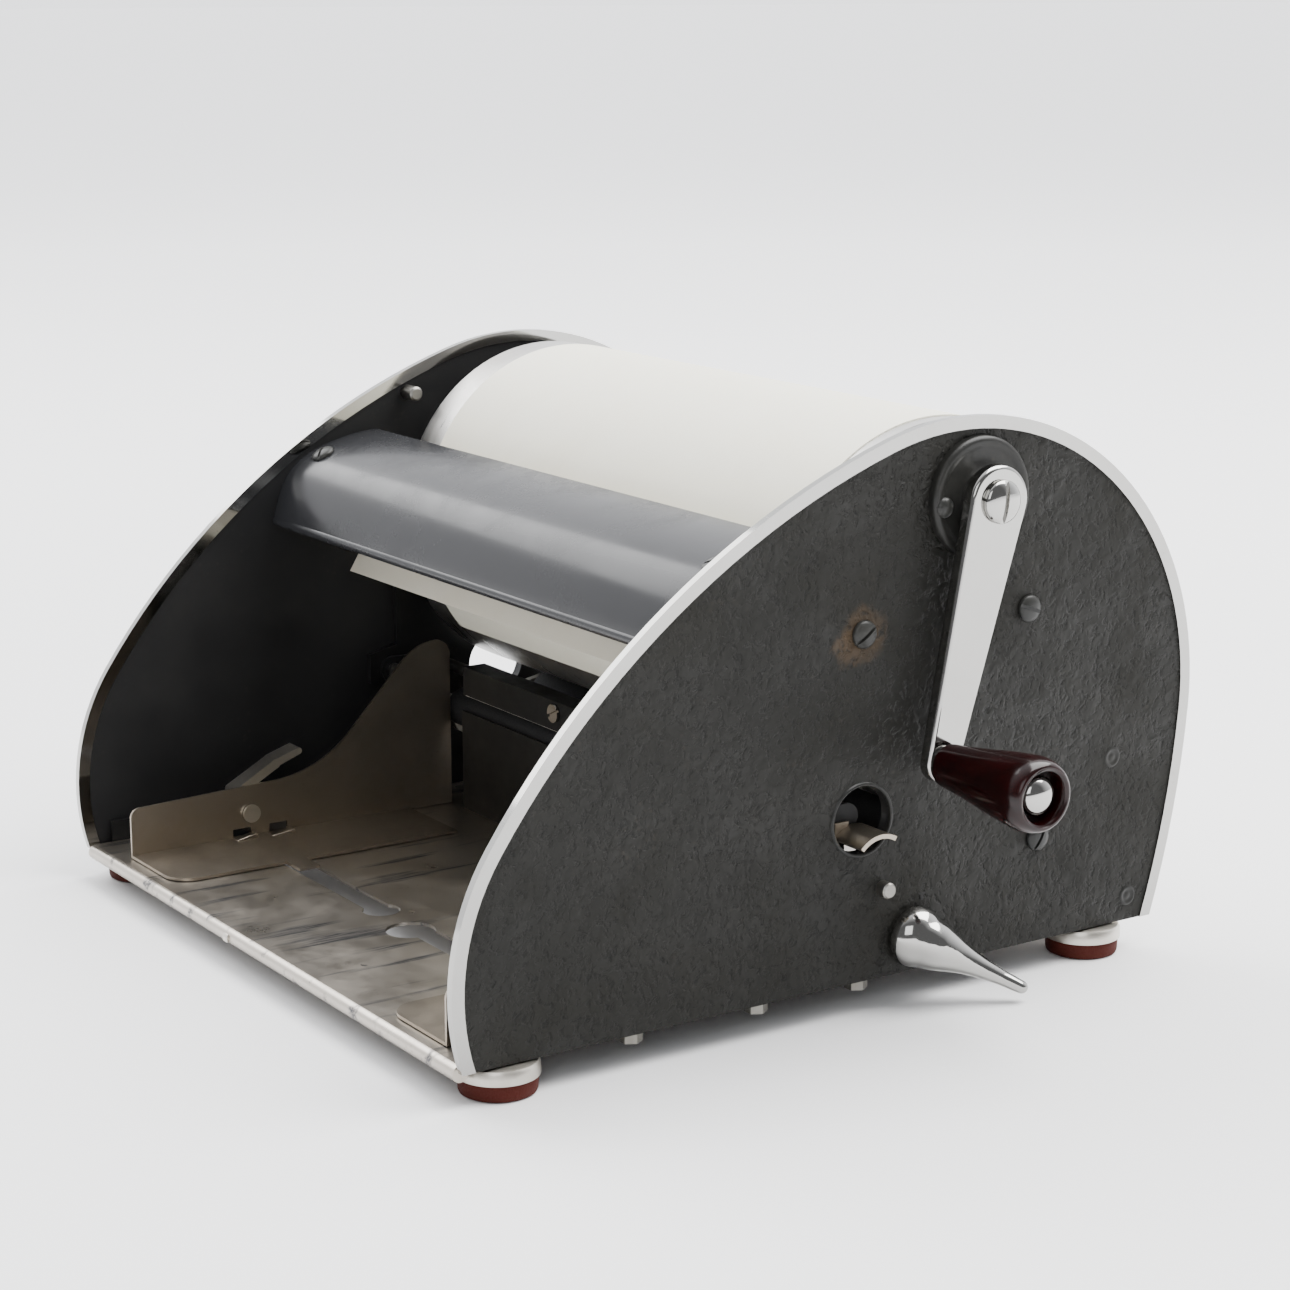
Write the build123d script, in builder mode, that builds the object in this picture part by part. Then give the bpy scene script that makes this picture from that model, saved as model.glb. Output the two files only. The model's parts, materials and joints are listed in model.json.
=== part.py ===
"""Hand-cranked tabletop spirit duplicator, built as the separate pieces it comes apart into.

Units are millimetres, +Z up. X runs across the machine towards the crank, -Y is the open front
where the paper lies, and Z = 0 is the table. The origin is the middle of the overall footprint.
Sizes below are measured in the machine's own layout: x from the middle plane between the side
plates, y from their front bottom corner and z from their bottom edge.
"""

from build123d import *
import os
from math import atan2, cos, degrees, pi, radians, sin, tan

os.makedirs("parts", exist_ok=True)

# ---------------------------------------------------------------- driving dimensions
HALF_W = 130.0          # middle plane to the outer face of a side plate
DEPTH = 257.0           # length of a side plate along its bottom edge
PANEL_T = 1.6           # side plate sheet
FOOT_H = 10.4           # table to the bottom edge of the side plates
SHEET = 1.0             # tray, guides, hood and brackets

# side plate outline: heading at the front bottom corner, then (radius, sweep) of tangent arcs
START_HEADING = 106.9
OUTLINE_ARCS = [(74.1, 51.1), (248.1, 12.4), (272.2, 25.3), (94.4, 112.7), (304.7, 13.0)]
OUTLINE_RUN_ON = 5.0    # degrees that the end arcs run past the bottom edge before it is cut

TRIM_WALL = 0.8         # edge channel: metal outside the plate's edge
TRIM_LIP_T = 0.5        # metal on each face of the plate
TRIM_LIP_W = 4.0        # width of that metal

DRUM = (180.0, 107.0)   # drum axis (y, z)
DRUM_R = 59.6
DRUM_HALF = 115.0
DRUM_SHELL_T = 1.2
MASTER_T = 0.4
MASTER_X = (-100.2, 109.8)
CLAMP_ANGLE = -66.0     # where the gripper slot lies on the drum at rest

GEAR_MODULE = 1.0
GEAR_TEETH = 38
GEAR_X = 119.0
GEAR_W = 6.0
GEAR_BACKLASH = 0.16

CRANK = (180.0, 145.0)  # crank axis
CRANK_SHAFT_R = 5.0
BOSS_PIN = (165.4, 143.4)
BOSS_R = 18.6
BOSS_H = 3.2
ARM_X = 136.0           # inner face of the crank arm
ARM_T = 5.0
ARM_HUB_R = 10.8
ARM_TIP_R = 6.0
HANDLE = (161.0, 67.4)  # handle axis at rest
HANDLE_START_X = 142.8
HANDLE_END_X = 186.0
HANDLE_SLIM_R = 6.8
HANDLE_FULL_R = 11.4
HANDLE_BOLT_R = 3.0

CARRIER_PIVOT = (146.6, 28.4)
IMPRESSION = (180.0, 34.4)
IMPRESSION_R = 12.3
IMPRESSION_SHAFT_R = 4.0
PIN_R = 2.5             # carrier pivots, swing pivots and the impression roller's journals
PRESSURE = (158.5, 11.5)
PRESSURE_SHAFT_R = 3.0
SWING_PIVOT = (118.0, 50.0)
FEED_ROLLER = (140.6, 35.6)
FEED_ROLLER_R = 7.0
FEED_SHAFT_R = 2.5
TIE_ROD = (207.8, 34.3)
PANEL_SCREWS = [(137.9, 108.0), (201.6, 108.2), TIE_ROD]
FLUSH_RIVETS = [(238.5, 55.5), (247.3, 8.1)]
NEAR_HOLE = (138.6, 51.0)
NEAR_HOLE_R = 10.5
FAR_HOLE = (164.0, 46.0)
FAR_HOLE_R = 11.5
STOP_PIN = (129.2, 150.4)   # stud inside the far plate

TRAY_TOP = 1.7
HEM_R = 2.6
SLOT_Y = 49.8
FOOT_X = 121.5
FOOT_Y = (16.5, 236.0)
BASE_SCREW_X = 120.5
BASE_SCREW_Y = (62.0, 107.0, 144.7)

GUIDE_X = {"left": -103.0, "right": 112.0}
GUIDE_FLANGE = 36.0
GUIDE_FRONT = 5.0
GUIDE_REAR = 131.0
GUIDE_RIVET = (50.0, 11.0)

RUN_FIT = 0.06          # radial clearance of a shaft that turns in its bearing
GAP = 0.3               # clearance between pieces that pass each other

SCREW_HEAD_H = 2.4      # side plate screws: how far their heads stand out
MID_X = -(HANDLE_END_X - HALF_W - SCREW_HEAD_H) / 2
INNER = HALF_W - PANEL_T            # inner face of a side plate
FRAME_T = 2.4                       # inner frame sheet
FRAME_FACE = INNER - FRAME_T        # its free face


# ---------------------------------------------------------------- shared helpers
def side_plane(x):
    """Plane across the machine at x: sketch (y, z), extrude towards the crank."""
    return Plane(origin=(MID_X + x, FRONT_Y, FOOT_H), x_dir=(0, 1, 0), z_dir=(1, 0, 0))


def level_plane(z):
    """Horizontal plane at height z: sketch (x, y), extrude upwards."""
    return Plane(origin=(MID_X, FRONT_Y, FOOT_H + z), x_dir=(1, 0, 0), z_dir=(0, 0, 1))


def axis_plane(x, centre):
    """Plane at x with its own origin on a shaft axis at centre = (y, z)."""
    return Plane(
        origin=(MID_X + x, FRONT_Y + centre[0], FOOT_H + centre[1]),
        x_dir=(0, 1, 0),
        z_dir=(1, 0, 0),
    )


def turned_plane(centre):
    """Plane through a shaft axis for a section to revolve: sketch (x, radius)."""
    return Plane(
        origin=(MID_X, FRONT_Y + centre[0], FOOT_H + centre[1]),
        x_dir=(1, 0, 0),
        z_dir=(0, -1, 0),
    )


def shaft_axis(centre):
    """The X-direction axis through centre = (y, z)."""
    return Axis((MID_X, FRONT_Y + centre[0], FOOT_H + centre[1]), (1, 0, 0))


def polar(radius, angle):
    """Point at radius and angle in degrees."""
    return radius * cos(radians(angle)), radius * sin(radians(angle))


def plate_outline(inset=0.0):
    """Side plate outline, inset from its curved edge and cut square along the bottom."""
    radius, sweep = OUTLINE_ARCS[0]
    centre = Vector(*polar(radius, START_HEADING - 90))
    start = centre + Vector(*polar(radius - inset, START_HEADING + OUTLINE_RUN_ON + 90))
    heading = Vector(*polar(1, START_HEADING + OUTLINE_RUN_ON))
    with BuildLine() as outline:
        first = JernArc(start, heading, radius - inset, -(sweep + OUTLINE_RUN_ON))
        arc = first
        for radius, sweep in OUTLINE_ARCS[1:]:
            last = radius == OUTLINE_ARCS[-1][0]
            run_on = OUTLINE_RUN_ON if last else 0
            arc = JernArc(arc @ 1, arc % 1, radius - inset, -(sweep + run_on))
        Line(arc @ 1, first @ 0)
    make_face(outline.edges())
    with Locations((DEPTH / 2, DEPTH)):
        Rectangle(2 * DEPTH, 2 * DEPTH, mode=Mode.INTERSECT)


with BuildSketch() as whole_outline:
    plate_outline()
FRONT_Y = -whole_outline.sketch.bounding_box().center().X


def disc(centre, radius, mode=Mode.ADD):
    """Circle of the current side sketch at centre = (y, z)."""
    with Locations(centre):
        Circle(radius, mode=mode)


def capsule(start, end, start_r, end_r):
    """Flat bar outline: two round ends joined by tangent sides."""
    disc(start, start_r)
    disc(end, end_r)
    run = Vector(end[0] - start[0], end[1] - start[1])
    lean = degrees(atan2(run.Y, run.X))
    tilt = degrees(atan2(start_r - end_r, (run.length**2 - (start_r - end_r) ** 2) ** 0.5))
    corners = []
    for point, radius, sign in ((start, start_r, 1), (end, end_r, 1), (end, end_r, -1), (start, start_r, -1)):
        offset_y, offset_z = polar(radius, lean + sign * (90 - tilt))
        corners.append((point[0] + offset_y, point[1] + offset_z))
    with BuildLine() as sides:
        Polyline(*corners, close=True)
    make_face(sides.edges())


def gear_outline(teeth, phase):
    """Involute spur gear outline about the sketch origin, with one tooth centred at phase."""
    pitch_r = GEAR_MODULE * teeth / 2
    base_r = pitch_r * cos(radians(20))
    root_r, tip_r = pitch_r - 1.25 * GEAR_MODULE, pitch_r + GEAR_MODULE
    half_tooth = (pi * GEAR_MODULE / 2 - GEAR_BACKLASH) / 2 / pitch_r

    def involute(radius):
        roll = tan(radians(20)) if radius is None else (max(radius / base_r, 1) ** 2 - 1) ** 0.5
        return roll - atan2(roll, 1)

    first = 1 if root_r > base_r else 0
    flank = [root_r] + [base_r + (tip_r - base_r) * step / 4 for step in range(first, 5)]
    points = []
    for tooth in range(teeth):
        middle = radians(phase) + 2 * pi * tooth / teeth
        half = [half_tooth + involute(None) - involute(radius) for radius in flank]
        points += [polar(r, degrees(middle - h)) for r, h in zip(flank, half)]
        points += [polar(r, degrees(middle + h)) for r, h in zip(flank[::-1], half[::-1])]
    with BuildLine() as teeth_line:
        Polyline(*points, close=True)
    make_face(teeth_line.edges())


def finish(builder, label):
    """Label a finished piece and write its STEP file."""
    builder.part.label = label
    export_step(builder.part, f"parts/{label}.step")


def side_name(side):
    """Name of the crank side (+1) or the other side (-1)."""
    return "near" if side > 0 else "far"


# ---------------------------------------------------------------- side plates and their trim
for side in (1, -1):
    with BuildPart() as side_plate:
        with BuildSketch(side_plane(side * INNER)):
            plate_outline(TRIM_WALL)
            for spot in PANEL_SCREWS:
                disc(spot, 2.1, Mode.SUBTRACT)
            for spot in FLUSH_RIVETS:
                disc(spot, 2.0, Mode.SUBTRACT)
            disc(CARRIER_PIVOT, 2.5, Mode.SUBTRACT)
            if side > 0:
                disc(NEAR_HOLE, NEAR_HOLE_R, Mode.SUBTRACT)
                disc(CRANK, CRANK_SHAFT_R + 1.5, Mode.SUBTRACT)
                disc(BOSS_PIN, 2.0, Mode.SUBTRACT)
                disc(PRESSURE, PRESSURE_SHAFT_R + RUN_FIT, Mode.SUBTRACT)
            else:
                disc(FAR_HOLE, FAR_HOLE_R, Mode.SUBTRACT)
                disc(STOP_PIN, 2.0, Mode.SUBTRACT)
        extrude(amount=side * PANEL_T)
        rear_bottom = side_plate.edges().filter_by(Axis.X).group_by(Axis.Z)[0].sort_by(Axis.Y)[-1]
        fillet(rear_bottom, 4.0)
    finish(side_plate, f"{side_name(side)}_side_plate")

    with BuildPart() as edge_trim:
        with BuildSketch(side_plane(side * (INNER - TRIM_LIP_T))):
            plate_outline()
            with BuildSketch(side_plane(0), mode=Mode.PRIVATE) as inside:
                plate_outline(TRIM_LIP_W)
            add(inside.sketch_local, mode=Mode.SUBTRACT)
        extrude(amount=side * (PANEL_T + 2 * TRIM_LIP_T))
        with BuildSketch(side_plane(side * INNER)):
            plate_outline(TRIM_WALL)
        extrude(amount=side * PANEL_T, mode=Mode.SUBTRACT)
    finish(edge_trim, f"{side_name(side)}_edge_trim")


# ---------------------------------------------------------------- base: tray, angles, feet
TRAY_HALF = 126.6
KEYHOLES = [(-7.0, SLOT_Y - 0.5), (16.0, SLOT_Y - 2.5)]
KEYHOLE_R = (6.2, 8.0)
SLOT_W = 8.6
SLOT_SPANS = [(-119.0, KEYHOLES[0][0]), (KEYHOLES[1][0], 119.0)]
EAR_X = INNER - 0.1
EAR_Y = 245.2
EAR_W = 10.4

with BuildPart() as base_tray:
    with BuildSketch(level_plane(TRAY_TOP - SHEET)):
        with Locations((0, 126.5)):
            Rectangle(2 * TRAY_HALF, 251.0)
        for start, end in SLOT_SPANS:
            with Locations(((start + end) / 2, SLOT_Y)):
                Rectangle(end - start, SLOT_W, mode=Mode.SUBTRACT)
        for keyhole, radius in zip(KEYHOLES, KEYHOLE_R):
            disc(keyhole, radius, Mode.SUBTRACT)
        for side in (1, -1):
            for y in BASE_SCREW_Y:
                disc((side * BASE_SCREW_X, y), 2.0, Mode.SUBTRACT)
            with Locations((side * (EAR_X - 3.0), EAR_Y)):
                Rectangle(6.0, EAR_W)
    extrude(amount=SHEET)
    with BuildSketch(side_plane(-TRAY_HALF)):
        disc((1.4, TRAY_TOP - HEM_R), HEM_R)
        with Locations((251.5, 5.0)):
            Rectangle(SHEET, 8.6)
    extrude(amount=2 * TRAY_HALF)
    for side in (1, -1):
        with BuildSketch(side_plane(side * (EAR_X - SHEET))):
            with Locations((EAR_Y, 7.6)):
                Rectangle(EAR_W, 13.0)
            disc(FLUSH_RIVETS[1], 2.0, Mode.SUBTRACT)
        extrude(amount=side * SHEET)
finish(base_tray, "base_tray")

with BuildPart() as base_angles:
    for side in (1, -1):
        with BuildSketch(level_plane(-0.5)):
            with Locations((side * 118.2, 124.0)):
                Rectangle(20.0, 238.0)
            for y in BASE_SCREW_Y:
                disc((side * BASE_SCREW_X, y), 2.0, Mode.SUBTRACT)
        extrude(amount=TRAY_TOP - SHEET + 0.5)
        with BuildSketch(side_plane(side * 127.0)):
            with Locations((58.0, 4.2)):
                Rectangle(100.0, 9.4)
        extrude(amount=side * 1.2)
finish(base_angles, "base_angles")

with BuildPart() as base_screws:
    for side in (1, -1):
        for y in BASE_SCREW_Y:
            with BuildSketch(level_plane(-5.6)):
                with Locations((side * BASE_SCREW_X, y)):
                    RegularPolygon(3.6, 6)
            extrude(amount=5.1)
            with BuildSketch(level_plane(-0.5)):
                disc((side * BASE_SCREW_X, y), 2.0)
            extrude(amount=TRAY_TOP + 0.5)
finish(base_screws, "base_screws")

FEET = [(side * FOOT_X, y) for side in (1, -1) for y in FOOT_Y]
CUP_R = 12.3
CUP_TOP = -0.5
CUP_BOTTOM = -5.2
PAD_R = 11.5

with BuildPart() as foot_cups:
    for foot in FEET:
        with BuildSketch(level_plane(CUP_BOTTOM)):
            disc(foot, CUP_R)
        extrude(amount=CUP_TOP - CUP_BOTTOM)
    fillet(foot_cups.edges().filter_by(GeomType.CIRCLE).group_by(Axis.Z)[-1], 1.4)
    for foot in FEET:
        with BuildSketch(level_plane(CUP_BOTTOM)):
            disc(foot, PAD_R)
        extrude(amount=CUP_TOP - CUP_BOTTOM - 0.9, mode=Mode.SUBTRACT)
finish(foot_cups, "foot_cups")

with BuildPart() as foot_pads:
    for foot in FEET:
        with BuildSketch(level_plane(-FOOT_H)):
            disc(foot, PAD_R)
        extrude(amount=FOOT_H + CUP_TOP - 0.9)
    fillet(foot_pads.edges().filter_by(GeomType.CIRCLE).group_by(Axis.Z)[0], 0.8)
    for foot in FEET:
        with BuildSketch(level_plane(-FOOT_H)):
            disc(foot, 4.0)
        extrude(amount=4.0, mode=Mode.SUBTRACT)
finish(foot_pads, "foot_pads")


# ---------------------------------------------------------------- inner frames and their fasteners
FRAME_OUTLINE = [
    (122, 118), (212, 118), (218, 100), (218, 24), (196, 18), (176, 4.5), (144, 4.5),
    (126, 14), (122, 20), (122, 42), (111, 44.5), (111, 55.5), (122, 58),
]
DRUM_JOURNAL_R = 5.0

for side in (1, -1):
    with BuildPart() as inner_frame:
        with BuildSketch(side_plane(side * FRAME_FACE)):
            with BuildLine():
                Polyline(*FRAME_OUTLINE, close=True)
            make_face()
            disc(DRUM, DRUM_JOURNAL_R + RUN_FIT, Mode.SUBTRACT)
            disc(FEED_ROLLER, FEED_SHAFT_R + RUN_FIT, Mode.SUBTRACT)
            disc(PRESSURE, PRESSURE_SHAFT_R + RUN_FIT, Mode.SUBTRACT)
            for pin in (CARRIER_PIVOT, SWING_PIVOT):
                disc(pin, PIN_R, Mode.SUBTRACT)
            for spot in PANEL_SCREWS:
                disc(spot, 2.1, Mode.SUBTRACT)
            opening, opening_r = (NEAR_HOLE, NEAR_HOLE_R) if side > 0 else (FAR_HOLE, FAR_HOLE_R)
            disc(opening, opening_r, Mode.SUBTRACT)
        extrude(amount=side * FRAME_T)
    finish(inner_frame, f"{side_name(side)}_inner_frame")

with BuildPart() as tie_rod:
    with BuildSketch(side_plane(-FRAME_FACE)):
        disc(TIE_ROD, 4.0)
    extrude(amount=2 * FRAME_FACE)
    for side in (1, -1):
        with BuildSketch(side_plane(side * FRAME_FACE)):
            disc(TIE_ROD, 2.1)
        extrude(amount=-side * 8.0, mode=Mode.SUBTRACT)
finish(tie_rod, "tie_rod")

SCREW_HEAD_R = 4.3

with BuildPart() as panel_screws:
    for side in (1, -1):
        for spot in PANEL_SCREWS:
            reach = FRAME_FACE - (6.0 if spot == TIE_ROD else 0.0)
            with BuildSketch(side_plane(side * reach)):
                disc(spot, 2.1)
            extrude(amount=side * (HALF_W - reach))
            with BuildSketch(side_plane(side * HALF_W)):
                disc(spot, SCREW_HEAD_R)
            extrude(amount=side * SCREW_HEAD_H)
    crowns = panel_screws.edges().filter_by(GeomType.CIRCLE)
    fillet(crowns.group_by(Axis.X)[0] + crowns.group_by(Axis.X)[-1], 0.9)
    for side in (1, -1):
        for spot, angle in zip(PANEL_SCREWS, (35, -20, 60)):
            with BuildSketch(side_plane(side * (HALF_W + SCREW_HEAD_H))):
                with Locations(Location((spot[0], spot[1], 0), (0, 0, angle))):
                    Rectangle(3 * SCREW_HEAD_R, 1.1)
            extrude(amount=-side * 1.3, mode=Mode.SUBTRACT)
finish(panel_screws, "panel_screws")

with BuildPart() as flush_rivets:
    for side in (1, -1):
        for spot in FLUSH_RIVETS:
            with BuildSketch(side_plane(side * (EAR_X - SHEET))):
                disc(spot, 2.0)
            extrude(amount=side * (HALF_W - EAR_X + SHEET))
            with BuildSketch(side_plane(side * HALF_W)):
                disc(spot, 3.3)
            extrude(amount=side * 0.35)
finish(flush_rivets, "flush_rivets")

with BuildPart() as carrier_pins:
    for side in (1, -1):
        with BuildSketch(side_plane(side * 117.6)):
            disc(CARRIER_PIVOT, PIN_R)
        extrude(amount=side * (HALF_W + 4.2 - 117.6))
    ends = carrier_pins.edges().filter_by(GeomType.CIRCLE)
    chamfer(ends.group_by(Axis.X)[0] + ends.group_by(Axis.X)[-1], 0.5)
finish(carrier_pins, "carrier_pins")

with BuildPart() as swing_pins:
    for side in (1, -1):
        with BuildSketch(side_plane(side * 119.8)):
            disc(SWING_PIVOT, PIN_R)
        extrude(amount=side * (INNER - 119.8))
finish(swing_pins, "swing_pins")

with BuildPart() as far_stop_pin:
    with BuildSketch(side_plane(-120.4)):
        disc(STOP_PIN, 2.6)
    extrude(amount=-(INNER - 120.4))
    chamfer(far_stop_pin.edges().filter_by(GeomType.CIRCLE).sort_by(Axis.X)[-1], 0.7)
    with BuildSketch(side_plane(-INNER)):
        disc(STOP_PIN, 2.0)
    extrude(amount=-PANEL_T)
finish(far_stop_pin, "far_stop_pin")


# ---------------------------------------------------------------- hood, paper apron, sheet path
HOOD_FRONT = (74.7, 108.6)
HOOD_CROWN = [(77.4, 120.2), (87.0, 130.8)]
HOOD_REAR = (116.0, 138.3)
HOOD_HALF = INNER - 0.2
HOOD_SCREW = (90.2, 132.1)
HOOD_SLOPE = 27.0       # lean of the hood's skin at its screws
HOOD_SCREW_X = {1: 122.0, -1: 119.0}


def hood_screw_plane(side):
    """Plane on the hood's skin at one of its screws, facing out."""
    return Plane(
        origin=(MID_X + side * HOOD_SCREW_X[side], FRONT_Y + HOOD_SCREW[0], FOOT_H + HOOD_SCREW[1]),
        x_dir=(1, 0, 0),
        z_dir=(0, -sin(radians(HOOD_SLOPE)), cos(radians(HOOD_SLOPE))),
    )


with BuildPart() as hood:
    with BuildSketch(side_plane(-HOOD_HALF)):
        with BuildLine() as hood_line:
            nose = ThreePointArc(HOOD_FRONT, *HOOD_CROWN)
            TangentArc(nose @ 1, HOOD_REAR, tangent=nose % 1)
        trace(hood_line.line, SHEET)
        disc((HOOD_FRONT[0] + 1.2, HOOD_FRONT[1]), 1.9)
    extrude(amount=2 * HOOD_HALF)
    for side in (1, -1):
        with BuildSketch(hood_screw_plane(side)):
            Circle(2.2)
        extrude(amount=4.0, both=True, mode=Mode.SUBTRACT)
finish(hood, "hood")

with BuildPart() as hood_lugs:
    for side in (1, -1):
        with BuildSketch(side_plane(side * 110.0)):
            with Locations(Location((HOOD_SCREW[0] + 1.4, HOOD_SCREW[1] - 2.6, 0), (0, 0, HOOD_SLOPE))):
                Rectangle(14.0, 1.6)
        extrude(amount=side * (INNER - 110.0))
        with BuildSketch(side_plane(side * (INNER - 1.2))):
            with Locations(Location((HOOD_SCREW[0] + 3.4, HOOD_SCREW[1] - 6.4, 0), (0, 0, HOOD_SLOPE))):
                Rectangle(14.0, 8.0)
        extrude(amount=side * 1.2)
        with BuildSketch(hood_screw_plane(side)):
            Circle(2.0)
        extrude(amount=8.0, both=True, mode=Mode.SUBTRACT)
finish(hood_lugs, "hood_lugs")

with BuildPart() as hood_screws:
    for side in (1, -1):
        with BuildSketch(hood_screw_plane(side).offset(1.0)):
            Circle(4.2)
        extrude(amount=2.2)
        with BuildSketch(hood_screw_plane(side).offset(3.2)):
            with Locations(Location((0, 0, 0), (0, 0, 50))):
                Rectangle(10.0, 1.1)
        extrude(amount=-1.2, mode=Mode.SUBTRACT)
        with BuildSketch(hood_screw_plane(side).offset(1.0)):
            Circle(2.0)
        extrude(amount=-6.0)
finish(hood_screws, "hood_screws")

APRON_HALF = 115.0
with BuildPart() as paper_apron:
    with BuildSketch(side_plane(-APRON_HALF)):
        with BuildLine() as apron_line:
            ThreePointArc((113.4, 136.3), (108.4, 112.0), (97.6, 90.2))
        trace(apron_line.line, 0.5)
    extrude(amount=2 * APRON_HALF)
finish(paper_apron, "paper_apron")

STOP_Y = 131.8
with BuildPart() as stack_stop:
    with BuildSketch(side_plane(-96.0)):
        with Locations((STOP_Y + SHEET / 2, (TRAY_TOP + 38.0) / 2)):
            Rectangle(SHEET, 38.0 - TRAY_TOP)
        with Locations((STOP_Y + 6.0, TRAY_TOP + SHEET / 2)):
            Rectangle(12.0, SHEET)
    extrude(amount=192.0)
finish(stack_stop, "stack_stop")

DELIVERY_START = (196.0, 45.2)
DELIVERY_END = (246.0, 62.0)
with BuildPart() as delivery_plate:
    with BuildSketch(side_plane(-(FRAME_FACE - 0.3))):
        with BuildLine() as delivery_line:
            Line(DELIVERY_START, DELIVERY_END)
        trace(delivery_line.line, SHEET)
        disc((DELIVERY_END[0], DELIVERY_END[1] - 1.4), 2.0)
    extrude(amount=2 * (FRAME_FACE - 0.3))
    for side in (1, -1):
        with BuildSketch(side_plane(side * (EAR_X - SHEET))):
            with BuildLine():
                Polyline((228, 50), (246, 50), (246, 61.5), (228, 55.6), close=True)
            make_face()
            disc(FLUSH_RIVETS[0], 2.0, Mode.SUBTRACT)
        extrude(amount=side * SHEET)
        with BuildSketch(side_plane(side * (FRAME_FACE - 1.3))):
            with BuildLine():
                Polyline((228, 54.6), (246, 60.7), (246, 61.9), (228, 55.9), close=True)
            make_face()
        extrude(amount=side * (EAR_X - FRAME_FACE + 1.3))
finish(delivery_plate, "delivery_plate")


# ---------------------------------------------------------------- crank bearing on the near plate
BUSH_R = CRANK_SHAFT_R + 1.5
with BuildPart() as crank_boss:
    with BuildSketch(side_plane(HALF_W)):
        disc(CRANK, BOSS_R)
    extrude(amount=BOSS_H)
    face = crank_boss.faces().sort_by(Axis.X)[-1]
    fillet(face.edges(), 1.4)
    with BuildSketch(side_plane(HALF_W + BOSS_H)):
        disc(CRANK, BOSS_R - 3.4)
    extrude(amount=-0.7, mode=Mode.SUBTRACT)
    with BuildSketch(side_plane(HALF_W)):
        disc(CRANK, BUSH_R)
        disc(BOSS_PIN, 2.0)
    extrude(amount=BOSS_H, mode=Mode.SUBTRACT)
finish(crank_boss, "crank_boss")

with BuildPart() as boss_pin:
    with BuildSketch(side_plane(INNER)):
        disc(BOSS_PIN, 2.0)
    extrude(amount=PANEL_T + BOSS_H)
    with BuildSketch(side_plane(HALF_W + BOSS_H)):
        disc(BOSS_PIN, 3.2)
    extrude(amount=1.5)
    fillet(boss_pin.edges().filter_by(GeomType.CIRCLE).sort_by(Axis.X)[-1], 1.1)
finish(boss_pin, "boss_pin")

with BuildPart() as crank_bush:
    with BuildSketch(side_plane(125.6)):
        disc(CRANK, BUSH_R + 2.0)
    extrude(amount=INNER - 125.6)
    with BuildSketch(side_plane(INNER)):
        disc(CRANK, BUSH_R)
    extrude(amount=HALF_W + BOSS_H - 0.2 - INNER)
    with BuildSketch(side_plane(125.6)):
        disc(CRANK, CRANK_SHAFT_R + RUN_FIT)
    extrude(amount=20.0, mode=Mode.SUBTRACT)
finish(crank_bush, "crank_bush")


# ---------------------------------------------------------------- crank, handle and its gear
with BuildPart() as crank_shaft:
    with BuildSketch(side_plane(GEAR_X - 0.6)):
        disc(CRANK, CRANK_SHAFT_R)
    extrude(amount=ARM_X - GEAR_X + 0.6)
    with BuildSketch(side_plane(ARM_X)):
        disc(CRANK, CRANK_SHAFT_R - 1.0)
    extrude(amount=ARM_T)
    with BuildSketch(side_plane(ARM_X + ARM_T)):
        disc(CRANK, 2.5)
    extrude(amount=-14.0, mode=Mode.SUBTRACT)
finish(crank_shaft, "crank_shaft")

with BuildPart() as crank_gear:
    with BuildSketch(axis_plane(GEAR_X, CRANK)):
        gear_outline(GEAR_TEETH, 90 + 180 / GEAR_TEETH)
        Circle(CRANK_SHAFT_R, mode=Mode.SUBTRACT)
        with PolarLocations(11.0, 5):
            Circle(2.8, mode=Mode.SUBTRACT)
    extrude(amount=GEAR_W)
finish(crank_gear, "crank_gear")

with BuildPart() as crank_arm:
    with BuildSketch(side_plane(ARM_X)):
        capsule(CRANK, HANDLE, ARM_HUB_R, ARM_TIP_R)
    extrude(amount=ARM_T)
    fillet(crank_arm.faces().sort_by(Axis.X)[-1].edges(), 0.7)
    with BuildSketch(side_plane(HALF_W + BOSS_H + 0.3)):
        disc(CRANK, 9.0)
    extrude(amount=ARM_X - HALF_W - BOSS_H - 0.3)
    with BuildSketch(side_plane(HALF_W)):
        disc(CRANK, CRANK_SHAFT_R)
    extrude(amount=ARM_X - HALF_W, mode=Mode.SUBTRACT)
    with BuildSketch(side_plane(ARM_X)):
        disc(CRANK, CRANK_SHAFT_R - 1.0)
        disc(HANDLE, HANDLE_BOLT_R)
    extrude(amount=ARM_T, mode=Mode.SUBTRACT)
finish(crank_arm, "crank_arm")

HUB_SCREW_R = 6.6
with BuildPart() as hub_screw:
    with BuildSketch(side_plane(ARM_X + ARM_T)):
        disc(CRANK, HUB_SCREW_R)
    extrude(amount=3.0)
    fillet(hub_screw.edges().filter_by(GeomType.CIRCLE).sort_by(Axis.X)[-1], 2.2)
    with BuildSketch(side_plane(ARM_X + ARM_T + 3.0)):
        with Locations(Location((CRANK[0], CRANK[1], 0), (0, 0, 84))):
            Rectangle(3 * HUB_SCREW_R, 1.5)
    extrude(amount=-1.9, mode=Mode.SUBTRACT)
    with BuildSketch(side_plane(ARM_X + ARM_T)):
        disc(CRANK, 2.5)
    extrude(amount=-12.0)
finish(hub_screw, "hub_screw")

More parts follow.
